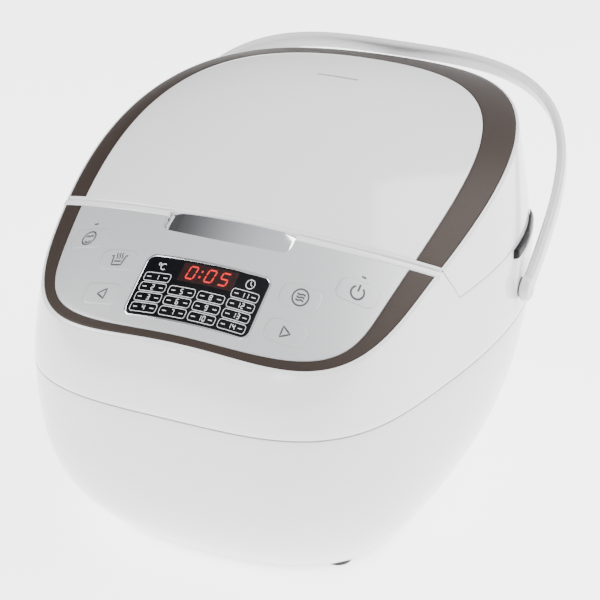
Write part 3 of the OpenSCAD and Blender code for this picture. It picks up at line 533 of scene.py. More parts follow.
def add_floor():
    me = bpy.data.meshes.new("floor")
    s = 6.0
    me.from_pydata([(-s, -s, 0), (s, -s, 0), (s, s, 0), (-s, s, 0)], [], [(0, 1, 2, 3)])
    me.materials.append(FLOOR)
    floor = bpy.data.objects.new("floor", me)
    bpy.context.scene.collection.objects.link(floor)


def paint_cad_nodes():
    for sub in frame["record"]["subparts"]:
        mesh = frame["nodes"][sub["node"]].data
        mesh.materials.clear()
        mesh.materials.append(SLOT_FINISH[sub["material_slot"]])


# ---------------------------------------------------------------- housing
def edge_steps(r, h, up):
    """(t, d) steps around an edge of radius r on a wall h high."""
    steps = []
    for q in (0, 30, 60, 90):
        a = math.radians(q)
        t, d = r * (1 - math.cos(a)) / h, r * (1 - math.sin(a))
        steps.append((1 - t if up else t, d))
    return steps[::-1] if up else steps


def build_skirt():
    angles = even_angles(ROUND)[:-1]
    high = BELT_Z - FOOT_H
    ts = edge_steps(2.4, high, False) + [(0.03 + 0.955 * (i / 26) ** 1.5, 0) for i in range(1, 26)]
    ts += [(1 - 1.1 / high, 0.0), (1 - 0.7 / high, 0.12), (1 - 0.62 / high, 0.5), (1 - 0.6 / high, WALL)]
    ts += [(t, WALL) for t in (0.8, 0.5, 0.25, 0.1, 0.0)]
    skirt = column_solid("body_skirt", [[lower_point(a, t, d) for t, d in ts] for a in angles], SKIRT)
    cut(skirt, rear_block(INLET_HALF + CLEARANCE, BEHIND, INLET_Z[0] - CLEARANCE, INLET_Z[1] + CLEARANCE))
    put(skirt, "housing", "lower_housing", slot="white_skirt")


def wall_columns(angles, start, stop, crown_top, r_low, r_high):
    """Columns of a wall between two heights given as fractions by start(a) and stop(a)."""
    columns = []
    for a in angles:
        t0, t1 = start(a), stop(a)
        full = upper_point(a, 1, 0)[2] - BELT_Z
        h = max(0.02, (t1 - t0) * full)
        rl, rh = min(r_low, h * 0.45), min(r_high, h * 0.45)
        col = [upper_point(a, mix(t0, t1, t), d) for t, d in edge_steps(rl, h, False)]
        lo, hi = rl / h, 1 - rh / h
        col += [upper_point(a, mix(t0, t1, mix(lo, hi, i / 15)), 0) for i in range(1, 15)]
        if crown_top and t1 > 0.9999:
            col.append(upper_point(a, 1 - rh / full, 0))
            col += [crown_point(a, d, drop) for d, drop in (
                (0.03, 0.75), (0.25, 0.25), (0.8, 0.0), (1.55, 0.0), (1.7, 0.12), (1.75, 2.4))]
        else:
            col += [upper_point(a, mix(t0, t1, t), d) for t, d in edge_steps(rh, h, True)]
            col += [upper_point(a, t1, mix(rh, WALL, i / 3)) for i in range(1, 4)]
        col += [upper_point(a, mix(t1, t0, i / 4), WALL, 2.4) for i in range(5)]
        columns.append(col)
    return columns


def skirt_crossing(t, gap):
    """The angle, on the right, at which the wall crosses the lid's raked front edge."""
    return bisect(lambda a: behind_skirt(upper_point(a, t(a), 0), gap), -math.pi / 2 + 0.3, 0.9)


def with_breaks(angles, *breaks):
    near = [a for a in angles if all(abs(a - b) > 0.002 for b in breaks)]
    return sorted(near + list(breaks))


def build_shoulder():
    gap = -LID_GAP / 2

    def top(a):
        seam = level_t(a, SEAM_Z - LID_GAP)
        if behind_skirt(upper_point(a, 1, 0), gap) <= 0:
            return 1.0
        if behind_skirt(upper_point(a, seam, 0), gap) >= 0:
            return seam
        return bisect(lambda t: behind_skirt(upper_point(a, t, 0), gap), seam, 1)
    a_top = skirt_crossing(lambda a: 1, gap)
    a_low = skirt_crossing(lambda a: level_t(a, SEAM_Z - LID_GAP), gap)
    near = [mix(a_top, a_low, i / 14) for i in range(15)]
    breaks = near + [a_top - 1e-4] + [math.pi - a for a in near] + [math.pi - a_top + 1e-4]
    angles = with_breaks(even_angles(ROUND)[:-1], *breaks)
    wall = column_solid("body_shoulder", wall_columns(angles, lambda a: 0.0, top, True, 0.9, 0.6), WHITE)
    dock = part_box("cup_dock")
    dz = (dock[0][2] / MM - CLEARANCE, dock[1][2] / MM + CLEARANCE)
    x = dock[1][0] / MM + CLEARANCE
    cutters = [rear_block(x, (140, BEHIND[1]), *dz),
               rear_block(NOTCH_HALF, BEHIND, HINGE_Z - NOTCH_DEPTH, ABOVE)]
    cut(wall, *cutters)
    put(wall, "housing", "upper_housing", slot="white_gloss")


def wall_x(y, z):
    a = bisect(lambda a: upper_point(a, level_t(a, z), 0)[1] - y, -1.5, 1.5)
    return upper_point(a, level_t(a, z), 0)[0]


CAP_SLOPE = ((1.0, 1.2), (0.93, 2.6), (0.75, 4.0), (0.45, 5.3), (0.2, 6.0), (0.0, 6.3))


def build_hubs():
    """The white bosses that carry the handle's pivots, and their black caps."""
    z0, z1 = PIVOT_Z - 12.5, SEAM_Z - 7.0
    r = 4.0
    ny, nz = 44, 26
    seam_x = [wall_x(mix(HUB_Y[0], HUB_Y[1], j / ny), SEAM_Z) for j in range(ny + 1)]
    for side, name in ((1, "pivot_boss_right"), (-1, "pivot_boss_left")):
        columns, caps = [], []
        for j in range(ny + 1):
            y = mix(HUB_Y[0], HUB_Y[1], j / ny)
            k = min(y - HUB_Y[0], HUB_Y[1] - y)
            fall = r - math.sqrt(max(0, r * r - max(0, r - k) ** 2))
            out = seam_x[j] + HUB_OUT - fall
            col = []
            for i in range(nz + 1):
                z = mix(z0, z1, i / nz)
                top = 0.8 - math.sqrt(max(0, 0.64 - max(0, 0.8 - (z1 - z)) ** 2))
                low = 3.0 - math.sqrt(max(0, 9 - max(0, 3 - (z - z0)) ** 2))
                col.append((side * (out - top - low), y, z))
            inner = seam_x[j] - 1.2
            col += [(side * inner, y, z1), (side * inner, y, z0)]
            columns.append(col)
            cap_out = max(seam_x[j] + 0.9, out - 0.05)
            cap_in = seam_x[j] + 0.75
            caps.append([(side * cap_in, y, z1 + 0.02), (side * cap_out, y, z1 + 0.02)]
                        + [(side * mix(cap_in, cap_out, f), y, z1 + h) for f, h in CAP_SLOPE])
        boss = column_solid(name, columns, WHITE, around=False)
        put(boss, "housing", slot="white_gloss")
        cap = column_solid(name.replace("boss", "cap"), caps, BLACK, around=False)
        put(cap, "housing", "hub_caps", slot="black_plastic")


def border_of(o, d, gap, front):
    """The border of a plate inside an oval, in front of or behind the lid's edge."""
    o = inset(o, d)
    a = bisect(lambda a: oval(o, a)[1] - edge(oval(o, a)[0]) - gap, -math.pi / 2 + 0.2, 0.9)
    x = oval(o, a)[0]
    if front:
        ring = [oval(o, b) for b in even_angles(150, o, -math.pi - a, a)]
        line = [(x * (1 - 2 * i / 90), 0) for i in range(1, 90)]
    else:
        ring = [oval(o, b) for b in even_angles(220, o, a, math.pi - a)]
        line = [(-x * (1 - 2 * i / 90), 0) for i in range(1, 90)]
    return ring + [(p[0], edge(p[0]) + gap) for p in line]


def band_solid(name, gap, front):
    """A brown band between the shoulder and the inlay, ended at the lid's edge."""
    outer, inner = inset(RIM, EDGING_W + SKIN_GAP + 0.05), INLAY
    count = 190 if front else 260

    def point(a, s):
        p, q = oval(inner, a), oval(outer, a)
        return mix(p[0], q[0], s), mix(p[1], q[1], s)

    def end(s):
        return bisect(lambda a: point(a, s)[1] - edge(point(a, s)[0]) - gap, -math.pi / 2 + 0.2, 0.9)
    sides = [0, 0.008, 0.03] + [0.03 + 0.94 * i / 8 for i in range(1, 9)] + [0.992, 1.0]
    drops = [0.3, 0.08, 0] + [0] * 8 + [0.08, 0.3]
    rows = []
    for s in sides:
        a = end(s)
        span = (-math.pi - a, a) if front else (a, math.pi - a)
        rows.append(even_angles(count, outer, *span))
    columns = []
    for c in range(count + 1):
        near = min(c, count - c)
        end_drop = 0.25 if near == 0 else 0.0
        col = []
        for r, s in enumerate(sides):
            x, y = point(rows[r][c], s)
            col.append((x, y, dome(x, y) - drops[r] - end_drop))
        for r, s in ((len(sides) - 1, 1.0), (0, 0.0)):
            x, y = point(rows[r][c], s)
            col.append((x, y, dome(x, y) - SKIN_T))
        columns.append(col)
    return column_solid(name, columns, BRONZE, around=False)


def key_frame(name):
    x, y = KEY_AT[name][0], Y_FRONT + KEY_AT[name][1]
    n = dome_normal(x, y)
    a = math.atan2(n.y, n.x)
    turn = Matrix.Rotation(a, 3, "Z") @ Matrix.Rotation(math.acos(n.z), 3, "Y") @ Matrix.Rotation(-a, 3, "Z")
    at = Vector((x, y, dome(x, y)))

    def place(p):
        return tuple(at + turn @ Vector(p))

    def on_skin(u, v, h):
        q = at + turn @ Vector((u, v, 0))
        for _ in range(3):
            q += n * ((dome(q.x, q.y) - q.z) * n.z)
        return tuple(q + n * h)
    return place, on_skin


def button_outline(g):
    w, r, bow = BUTTON_W / 2 + g, 5.0, 2.4
    y0 = EDGE_Y - BUTTON_D - g
    pts = [(-w, y0 + bow + r)]
    pts += [(-w + r * (1 - math.cos(a)), y0 + bow + r * (1 - math.sin(a)) - 0.35 * math.sin(a))
            for a in (math.radians(15 * i) for i in range(1, 7))]
    pts += [(w * i / 20, y0 + bow * (i / 20) ** 2) for i in range(-17, 18)]
    pts += [(-x, y) for x, y in reversed(pts[:7])]
    pts += [(w * i / 24, edge(w * i / 24) - (LID_GAP / 2 if g <= 0 else -4)) for i in range(24, -25, -1)]
    return pts


def build_panel():
    plate = dome_patch("control_plate", border_of(INLAY, SKIN_GAP, -(LID_GAP / 2 + SILL_W + SKIN_GAP), True),
                       (0, Y_FRONT + 52), SILVER, edge_r=0.3, rings=26)
    hole = rounded(GLASS_W + 2 * BEZEL_W + 0.3, GLASS_D + 2 * BEZEL_W + 0.3, GLASS_R + BEZEL_W)
    glass_hole = [(x, GLASS_Y + y) for x, y in hole]
    cutters = [prism(glass_hole, 120, 260), prism(button_outline(BUTTON_GAP), 120, 260)]
    for name in KEY_AT:
        place, _ = key_frame(name)
        cutters.append(prism(rounded(KEY_W + 0.16, KEY_D + 0.16, KEY_R + 0.08, 10), -6, 6, place))
    cut(plate, *cutters)
    put(plate, "housing", "control_panel", slot="silver_panel")
    band = band_solid("panel_bronze_band", -(LID_GAP / 2 + SILL_W + SKIN_GAP), True)
    put(band, "housing", "panel_band", slot="brown_satin")
    for name in KEY_AT:
        _, on_skin = key_frame(name)
        key = dome_patch(name + "_cap", densify(rounded(KEY_W, KEY_D, KEY_R, 10), 1.5), (0, 0), SILVER,
                         lift=0.02, thick=2.6, edge_r=0.14, rings=8, place=on_skin)
        put(key, name, name, slot="silver_panel")


def build_sill():
    """The white strip of the housing just in front of the lid's edge."""
    g = LID_GAP / 2
    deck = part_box("deck")[1][2] / MM
    profile = [(-g - SILL_W, -2.2), (-g - SILL_W, -0.3), (-g - SILL_W + 0.3, -0.001), (-g - 1.0, -0.001),
               (-g - 0.3, -0.25), (-g, -0.9), (-g, deck), (-g - 2.5, deck), (-g - 2.5, -2.4)]
    xs = [BUTTON_W / 2 + BUTTON_GAP + (RIM[0] - 1.3 - BUTTON_W / 2) * (i / 40) for i in range(41)]
    right = edge_strip("sill_right", xs, profile, WHITE)
    left = edge_strip("sill_left", [-x for x in reversed(xs)], profile, WHITE)
    low = [(-g, -10.0), (-g, deck), (-g - 2.5, deck), (-g - 2.5, -10.0)]
    mid = [11 + (BUTTON_W / 2 - 10) * i / 12 for i in range(13)]
    mid_a = edge_strip("sill_mid_a", mid, low, WHITE)
    mid_b = edge_strip("sill_mid_b", [-x for x in reversed(mid)], low, WHITE)
    sill = join("lid_sill", [right, left, mid_a, mid_b])
    put(sill, "housing", "bay_front_wall", slot="white_gloss")


# share of the frame's width, and height over the dome
BEZEL_SECTION = ((0, -SKIN_T), (0, 0.1), (0.2, 0.3), (0.5, 0.36), (0.8, 0.3), (1, 0.05), (1, -SKIN_T))


def build_display():
    outline = densify([(x, GLASS_Y + y) for x, y in rounded(GLASS_W, GLASS_D, GLASS_R)], 2.5)
    glass = dome_patch("display_window", outline, (0, GLASS_Y), GLASS, lift=0.02, edge_r=0.25)
    put(glass, "housing", "display_glass", slot="black_glass")
    inner, outer = (rounded(GLASS_W + 0.2, GLASS_D + 0.2, GLASS_R + 0.1),
                    rounded(GLASS_W + 2 * BEZEL_W, GLASS_D + 2 * BEZEL_W, GLASS_R + BEZEL_W))
    count = 12
    columns = []
    n = len(inner)
    for i in range(n):
        for k in range(count if math.dist(inner[i], inner[(i + 1) % n]) > 3 else 1):
            f = k / count
            p = [mix(inner[i][c], inner[(i + 1) % n][c], f) for c in (0, 1)]
            q = [mix(outer[i][c], outer[(i + 1) % n][c], f) for c in (0, 1)]
            col = []
            for s, h in BEZEL_SECTION:
                x, y = mix(p[0], q[0], s), mix(p[1], q[1], s) + GLASS_Y
                col.append((x, y, dome(x, y) + h))
            columns.append(col)
    bezel = column_solid("display_bezel", columns, CHROME)
    put(bezel, "housing", "display_frame", slot="bright_chrome")


def segment_shapes(digit, cx, cy, w, h, thick, slant=0.14):
    """Filled seven-segment bars of one digit."""
    on = {"0": "abcdef", "1": "bc", "2": "abged", "3": "abgcd", "4": "fgbc", "5": "afgcd",
          "6": "afgedc", "7": "abc", "8": "abcdefg", "9": "abcdfg"}[digit]
    x0, x1, y0, y1, g = -w / 2, w / 2, -h / 2, h / 2, thick * 0.12
    ends = {"a": ((x0, y1), (x1, y1)), "b": ((x1, y1), (x1, 0)), "c": ((x1, 0), (x1, y0)),
            "d": ((x0, y0), (x1, y0)), "e": ((x0, 0), (x0, y0)), "f": ((x0, y1), (x0, 0)),
            "g": ((x0, 0), (x1, 0))}
    shapes = []
    for s in on:
        (ax, ay), (bx, by) = ends[s]
        l = math.hypot(bx - ax, by - ay)
        ux, uy = (bx - ax) / l, (by - ay) / l
        t = thick / 2
        pts = [(g, 0), (t + g, t), (l - t - g, t), (l - g, 0), (l - t - g, -t), (t + g, -t)]
        path = []
        for p, q in pts:
            x, y = ax + ux * p - uy * q, ay + uy * p + ux * q
            path.append((cx + x + slant * y, cy + y))
        shapes.append(("fill", path))
    return shapes


def geometry_tree(name, inputs):
    """A node tree with named inputs; returns the tree and its first and last node."""
    tree = bpy.data.node_groups.new(name, "GeometryNodeTree")
    tree.interface.new_socket("Geometry", in_out="INPUT", socket_type="NodeSocketGeometry")
    for key, kind in inputs:
        tree.interface.new_socket(key, in_out="INPUT", socket_type=kind)
    tree.interface.new_socket("Geometry", in_out="OUTPUT", socket_type="NodeSocketGeometry")
    return tree, tree.nodes.new("NodeGroupInput"), tree.nodes.new("NodeGroupOutput")


def node(tree, kind, **values):
    n = tree.nodes.new(kind)
    for key, value in values.items():
        setattr(n, key, value)
    return n


def run_tree(tree, name, values, material, base=None):
    """Runs a node tree on an empty mesh and keeps the result as a plain mesh."""
    me = base or bpy.data.meshes.new(name)
    obj = bpy.data.objects.new(name, me)
    bpy.context.scene.collection.objects.link(obj)
    mod = obj.modifiers.new("build", "NODES")
    mod.node_group = tree
    ids = {s.name: s.identifier for s in tree.interface.items_tree if s.in_out == "INPUT"}
    for key, value in values.items():
        mod[ids[key]] = value
    freeze(obj)
    if not obj.data.materials:
        obj.data.materials.append(material)
    return obj


def math_node(tree, op, a, b=None):
    n = node(tree, "ShaderNodeMath", operation=op)
    for i, v in enumerate((a, b)):
        if v is None:
            continue
        if isinstance(v, (int, float)):
            n.inputs[i].default_value = v
        else:
            tree.links.new(v, n.inputs[i])
    return n.outputs[0]


def end_tree(tree, geometry, out, material):
    real = node(tree, "GeometryNodeRealizeInstances")
    paint = node(tree, "GeometryNodeSetMaterial")
    paint.inputs["Material"].default_value = material
    tree.links.new(geometry, real.inputs[0])
    tree.links.new(real.outputs[0], paint.inputs["Geometry"])
    tree.links.new(paint.outputs["Geometry"], out.inputs[0])


def label_box_tree(material):
    """Rounded outlines of one size, one on each point of the mesh."""
    sizes = [(n, "NodeSocketFloat") for n in ("Width", "Height", "Corner", "Line")]
    tree, first, last = geometry_tree("label_boxes", sizes)
    link = tree.links.new
    quad = node(tree, "GeometryNodeCurvePrimitiveQuadrilateral")
    link(first.outputs["Width"], quad.inputs["Width"])
    link(first.outputs["Height"], quad.inputs["Height"])
    fillet = node(tree, "GeometryNodeFilletCurve")
    fillet.mode = "POLY"
    fillet.inputs["Count"].default_value = 5
    fillet.inputs["Limit Radius"].default_value = True
    link(quad.outputs[0], fillet.inputs["Curve"])
    link(first.outputs["Corner"], fillet.inputs["Radius"])
    even = node(tree, "GeometryNodeResampleCurve")
    even.mode = "LENGTH"
    even.inputs["Length"].default_value = 0.0006
    link(fillet.outputs[0], even.inputs["Curve"])
    pen = node(tree, "GeometryNodeCurvePrimitiveQuadrilateral")
    link(first.outputs["Line"], pen.inputs["Width"])
    pen.inputs["Height"].default_value = 0.0001
    sweep = node(tree, "GeometryNodeCurveToMesh")
    link(even.outputs[0], sweep.inputs["Curve"])
    link(pen.outputs[0], sweep.inputs["Profile Curve"])
    place = node(tree, "GeometryNodeInstanceOnPoints")
    link(first.outputs["Geometry"], place.inputs["Points"])
    link(sweep.outputs[0], place.inputs["Instance"])
    end_tree(tree, place.outputs[0], last, material)
    return tree


def drape(obj, high):
    """Moves a flat mesh that was made at height 0 onto the dome."""
    for v in obj.data.vertices:
        v.co.z += (dome(v.co.x / MM, v.co.y / MM) + high) * MM


def build_prints():
    cols = (-29.0, -9.6, 9.6, 29.0)
    rows = (4.9, -1.2, -7.3, -13.4)
    at = [(x, r) for i, x in enumerate(cols) for j, r in enumerate(rows) if j or i in (0, 3)]
    base = bpy.data.meshes.new("label_points")
    base.from_pydata([(x * MM, (GLASS_Y + y) * MM, 0) for x, y in at], [], [])
    boxes = run_tree(label_box_tree(PRINT_WHITE), "program_boxes",
                     {"Width": 17.2 * MM, "Height": 5.1 * MM, "Corner": 1.5 * MM, "Line": 0.34 * MM},
                     PRINT_WHITE, base)
    drape(boxes, 0.05)
    put(boxes, "housing", slot="black_glass")
    marks = []
    for k, (x, y) in enumerate(at):
        text = str(k + 1)
        for j, ch in enumerate(text):
            marks += segment_shapes(ch, x + (j - (len(text) - 1) / 2) * 2.7, y, 1.5, 2.8, 0.42, 0)
        marks += [("line", [(x + s * 4.2, y), (x + s * 6.8, y)], 0.45, False) for s in (-1, 1)]
    marks += [("line", arc(29.3, 11.8, 2.7, 0, 360, 30)[:-1], 0.42, True),
              ("line", [(29.3, 13.5), (29.3, 11.8), (30.6, 11.0)], 0.42, False),
              ("line", arc(-31.0, 13.0, 0.75, 0, 360, 14)[:-1], 0.35, True),
              ("line", arc(-28.0, 11.6, 1.8, 50, 310, 18), 0.5, False)]
    numbers = print_on_dome("program_marks", marks, PRINT_WHITE, (0, GLASS_Y), lift=0.02)
    put(numbers, "housing", slot="black_glass")
    w, h, cx, cy = 36.0, 11.4, 2.0, 10.6
    corners = [(cx + i * w / 2, GLASS_Y + cy + j * h / 2) for i, j in ((-1, -1), (1, -1), (1, 1), (-1, 1))]
    window = dome_patch("led_window", densify(corners, 2), (cx, GLASS_Y + cy), WINDOW,
                        lift=0.06, thick=0.3, edge_r=0.05, rings=8)
    put(window, "housing", slot="black_glass")
    lit = []
    for ch, x in (("0", -8.6), ("0", 3.6), ("5", 12.8)):
        lit += segment_shapes(ch, x, cy, 4.9, 7.4, 0.95)
    for dy in (-1.7, 1.7):
        dot = [(a * 0.6, b * 0.6) for a, b in ((-1, -1), (1, -1), (1, 1), (-1, 1))]
        lit.append(("fill", [(-2.6 + 0.14 * dy + a, cy + dy + b) for a, b in dot]))
    digits = print_on_dome("led_digits", lit, LED_RED, (0, GLASS_Y), lift=0.08)
    put(digits, "housing", slot="black_glass")
    thin = 1.0
    ring = lambda r: arc(0, 0, r, 0, 360, 36)[:-1]
    bowl = [(-5.6, 2.6), (-4.2, 2.6), (-3.2, -3.2), (3.2, -3.2), (4.2, 2.6), (5.6, 2.6)]
    steam = lambda x: [(x + 0.5 * math.sin(k * 0.9), 0.6 + k * 0.55) for k in range(8)]
    icons = {
        "key_cancel": [("line", ring(4.3), thin, True),
                       ("line", arc(-1.4, 0.2, 1.3, 20, 160, 8), thin, False),
                       ("line", arc(1.4, 0.2, 1.3, 20, 160, 8), thin, False),
                       ("line", arc(0, -0.9, 2.0, 205, 335, 10), thin, False)],
        "key_temperature": [("line", bowl, thin, False), ("line", [(-2.4, -0.9), (2.4, -0.9)], thin, False)]
                           + [("line", steam(x), thin * 0.8, False) for x in (-1.8, 0, 1.8)],
        "key_hours": [("line", [(2.4, 3.0), (-3.0, 0), (2.4, -3.0)], thin, True)],
        "key_minutes": [("line", [(-2.4, 3.0), (3.0, 0), (-2.4, -3.0)], thin, True)],
        "key_menu": [("line", ring(4.8), thin, True)]
                    + [("line", [(x * 0.5, y + 0.35 * math.sin(x * 0.75)) for x in range(-5, 6)], thin, False)
                       for y in (-1.7, 0, 1.7)],
        "key_start": [("line", arc(0, 0, 3.9, 125, 415, 30), thin * 1.2, False),
                      ("line", [(0, 5.0), (0, 0.6)], thin * 1.2, False)]}
    for name, shapes in icons.items():
        origin = (KEY_AT[name][0], Y_FRONT + KEY_AT[name][1])
        mark = print_on_dome(name + "_symbol", shapes, PRINT_GREY, origin, lift=0.03)
        put(mark, name, slot="silver_panel")
    lamps = []
    for name in ("key_cancel", "key_start"):
        x, y = KEY_AT[name][0], Y_FRONT + KEY_AT[name][1] + 9.8
        lamps.append(("line", [(x - 1.4, y), (x + 1.4, y)], 1.1, False))
    lamp = print_on_dome("status_lamps", lamps, PRINT_GREY)
    put(lamp, "housing", slot="silver_panel")


def build_button():
    """The chrome release button: its top follows the dome and its ends roll down."""
    def roll(x, y):
        past = max(0.0, abs(x) - 33.5)
        across = (y - (EDGE_Y - BUTTON_D)) / BUTTON_D
        return -0.35 - 0.17 * past - 0.0006 * x * x - 0.5 * (1 - across) ** 2 - 0.3 * across ** 3
    border = densify(button_outline(0), 1.4)
    button = dome_patch("button_top", border, (0, EDGE_Y - 6.2), CHROME, thick=2.2, edge_r=0.6, rings=40,
                        shape=roll)
    low = [v.co / MM for v in frame["nodes"]["open_button"].data.vertices]
    foot = min(p.z for p in low)
    ring = [p for p in low if p.z < foot + 0.1]
    cx, cy = sum(p.x for p in ring) / len(ring), sum(p.y for p in ring) / len(ring)
    stem = prism([(cx + 2 * math.cos(a), cy + 2 * math.sin(a))
                  for a in (math.pi * i / 16 for i in range(32))], foot, dome(cx, cy) - 1.6)
    stem.data.materials[0] = CHROME
    put(join("release_button", [button, stem]), "open_button", "open_button", slot="bright_chrome")


# ---------------------------------------------------------------- lid
def build_lid():
    gap = LID_GAP / 2

    def bottom(a):
        seam = level_t(a, SEAM_Z)
        if behind_skirt(upper_point(a, 1, 0), gap) <= 0:
            return 0.9995
        if behind_skirt(upper_point(a, seam, 0), gap) >= 0:
            return seam
        return min(0.9995, bisect(lambda t: behind_skirt(upper_point(a, t, 0), gap), seam, 1))
    a_top = skirt_crossing(lambda a: 1, gap)
    a_low = skirt_crossing(lambda a: level_t(a, SEAM_Z), gap)
    near = [mix(a_top, a_low, i / 16) for i in range(17)]
    half = [a for a in even_angles(ROUND) if a_top < a < math.pi - a_top]
    angles = with_breaks(half, *(near + [math.pi - a for a in near]))
    angles = [a for a in angles if a_top <= a <= math.pi - a_top]
    columns = wall_columns(angles, bottom, lambda a: 1.0, True, 0.5, 0.8)
    skin = column_solid("lid_skin", columns, WHITE, around=False)
    reach = oval(RIM, a_top)[0] - 1.2
    xs = [reach * (-1 + 2 * i / 120) for i in range(121)]
    lip = [(gap + e, z) for e, z in ((1.75, -2.4), (1.75, -0.15), (1.55, -0.001), (0.9, -0.001),
                                     (0.25, -0.25), (0, -0.9), (0, -13.5), (2.5, -13.5), (2.5, -2.5))]
    front = edge_strip("lid_front", xs, lip, WHITE)
    shell = join("lid_skin_and_lip", [skin, front])
    put(shell, "lid", "lid_shell", slot="white_gloss")
    crown = dome_patch("lid_crown", border_of(INLAY, SKIN_GAP, gap + EDGING_W + SKIN_GAP, False),
                       (0, 10), WHITE, edge_r=0.35, rings=44)
    vent_y = Y_FRONT + 247.4
    slot = [(x, vent_y + y) for x, y in rounded(30, 2.6, 1.29)]
    cut(crown, prism(slot, 160, 300))
    put(crown, "lid", "lid_top_panel", slot="white_gloss")
    band = band_solid("lid_bronze_band", gap + EDGING_W + SKIN_GAP, False)
    put(band, "lid", "lid_band", slot="brown_satin")


# ---------------------------------------------------------------- handle
def handle_tree(material):
    """A strap swept along a bow that follows a superellipse."""
    names = ("Half width", "Reach", "Roundness", "Strap width", "Strap thickness", "Edge radius", "Lean")
    tree, first, last = geometry_tree("carrying_bow", [(n, "NodeSocketFloat") for n in names])
    link = tree.links.new
    line = node(tree, "GeometryNodeCurvePrimitiveLine")
    fine = node(tree, "GeometryNodeResampleCurve")
    fine.inputs["Count"].default_value = 1200
    link(line.outputs[0], fine.inputs["Curve"])
    along = node(tree, "GeometryNodeSplineParameter")
    angle = math_node(tree, "MULTIPLY", along.outputs["Factor"], math.pi)
    power = math_node(tree, "DIVIDE", 2.0, first.outputs["Roundness"])
    cosine, sine = math_node(tree, "COSINE", angle), math_node(tree, "SINE", angle)
    cx = math_node(tree, "POWER", math_node(tree, "ABSOLUTE", cosine), power)
    cx = math_node(tree, "MULTIPLY", cx, math_node(tree, "SIGN", cosine))
    sy = math_node(tree, "POWER", math_node(tree, "ABSOLUTE", sine), power)
    half_t = math_node(tree, "MULTIPLY", first.outputs["Strap thickness"], 0.5)
    x = math_node(tree, "MULTIPLY", cx, math_node(tree, "SUBTRACT", first.outputs["Half width"], half_t))
    y = math_node(tree, "MULTIPLY", sy, math_node(tree, "SUBTRACT", first.outputs["Reach"], half_t))
    spot = node(tree, "ShaderNodeCombineXYZ")
    link(x, spot.inputs[0])
    link(y, spot.inputs[1])
    bend = node(tree, "GeometryNodeSetPosition")
    link(fine.outputs[0], bend.inputs["Geometry"])
    link(spot.outputs[0], bend.inputs["Position"])
    even = node(tree, "GeometryNodeResampleCurve")
    even.inputs["Count"].default_value = 220
    link(bend.outputs[0], even.inputs["Curve"])
    up = node(tree, "GeometryNodeSetCurveNormal", mode="Z_UP")
    link(even.outputs[0], up.inputs["Curve"])
    section = node(tree, "GeometryNodeCurvePrimitiveQuadrilateral")
    link(first.outputs["Strap thickness"], section.inputs["Width"])
    link(first.outputs["Strap width"], section.inputs["Height"])
    soft = node(tree, "GeometryNodeFilletCurve")
    soft.mode = "POLY"
    soft.inputs["Count"].default_value = 6
    soft.inputs["Limit Radius"].default_value = True
    link(section.outputs[0], soft.inputs["Curve"])
    link(first.outputs["Edge radius"], soft.inputs["Radius"])
    sweep = node(tree, "GeometryNodeCurveToMesh")
    sweep.inputs["Fill Caps"].default_value = True
    link(up.outputs[0], sweep.inputs["Curve"])
    link(soft.outputs[0], sweep.inputs["Profile Curve"])
    spin = node(tree, "ShaderNodeCombineXYZ")
    link(math_node(tree, "SUBTRACT", math.pi / 2, first.outputs["Lean"]), spin.inputs[0])
    tilt = node(tree, "GeometryNodeTransform")
    link(sweep.outputs[0], tilt.inputs["Geometry"])
    link(spin.outputs[0], tilt.inputs["Rotation"])
    tilt.inputs["Translation"].default_value = (0, PIVOT_Y * MM, PIVOT_Z * MM)
    end_tree(tree, tilt.outputs[0], last, material)
    return tree


HANDLE_HW, HANDLE_L, STRAP_W, STRAP_T, EYE_R = 152.7, 178.0, 12.6, 6.3, 8.6


def lathe_x(name, x0, x1, r, edge_r, hole, material, y=PIVOT_Y, z=PIVOT_Z, steps=64):
    """A disc about an axis along X, with rounded rims and a hole."""
    profile = [(x0, hole), (x1, hole)]
    for q in range(0, 91, 18):
        a = math.radians(q)
        profile.append((x1 - edge_r + edge_r * math.cos(a), r - edge_r + edge_r * math.sin(a)))
    for q in range(90, 181, 18):
        a = math.radians(q)
        profile.append((x0 + edge_r + edge_r * math.cos(a), r - edge_r + edge_r * math.sin(a)))
    columns = [[(px, y + pr * math.cos(a), z + pr * math.sin(a)) for px, pr in profile]
               for a in (2 * math.pi * i / steps for i in range(steps))]
    return column_solid(name, columns, material)


def build_handle():
    strap = run_tree(handle_tree(HANDLE), "handle_strap", {
        "Half width": HANDLE_HW * MM, "Reach": HANDLE_L * MM, "Roundness": 3.4, "Strap width": STRAP_W * MM,
        "Strap thickness": STRAP_T * MM, "Edge radius": 2.4 * MM, "Lean": math.radians(58)}, HANDLE)
    strap.data.shade_smooth()
    parts = [strap]
    for side in (-1, 1):
        x = sorted((side * HANDLE_HW, side * (HANDLE_HW - STRAP_T)))
        parts.append(lathe_x("eye", x[0], x[1], EYE_R, 1.9, 4.05, HANDLE))
    handle = join("carrying_handle", parts)
    put(handle, "handle", "handle", slot="handle_plastic")
    ends = HANDLE_HW - 3, HANDLE_HW - 0.15
    caps = [lathe_x("pin", *sorted(side * x for x in ends), 3.97, 0.12, 0.3, HANDLE) for side in (-1, 1)]
    pins = join("pivot_pin_heads", caps)
    put(pins, "pivot_bushes", slot="handle_plastic")


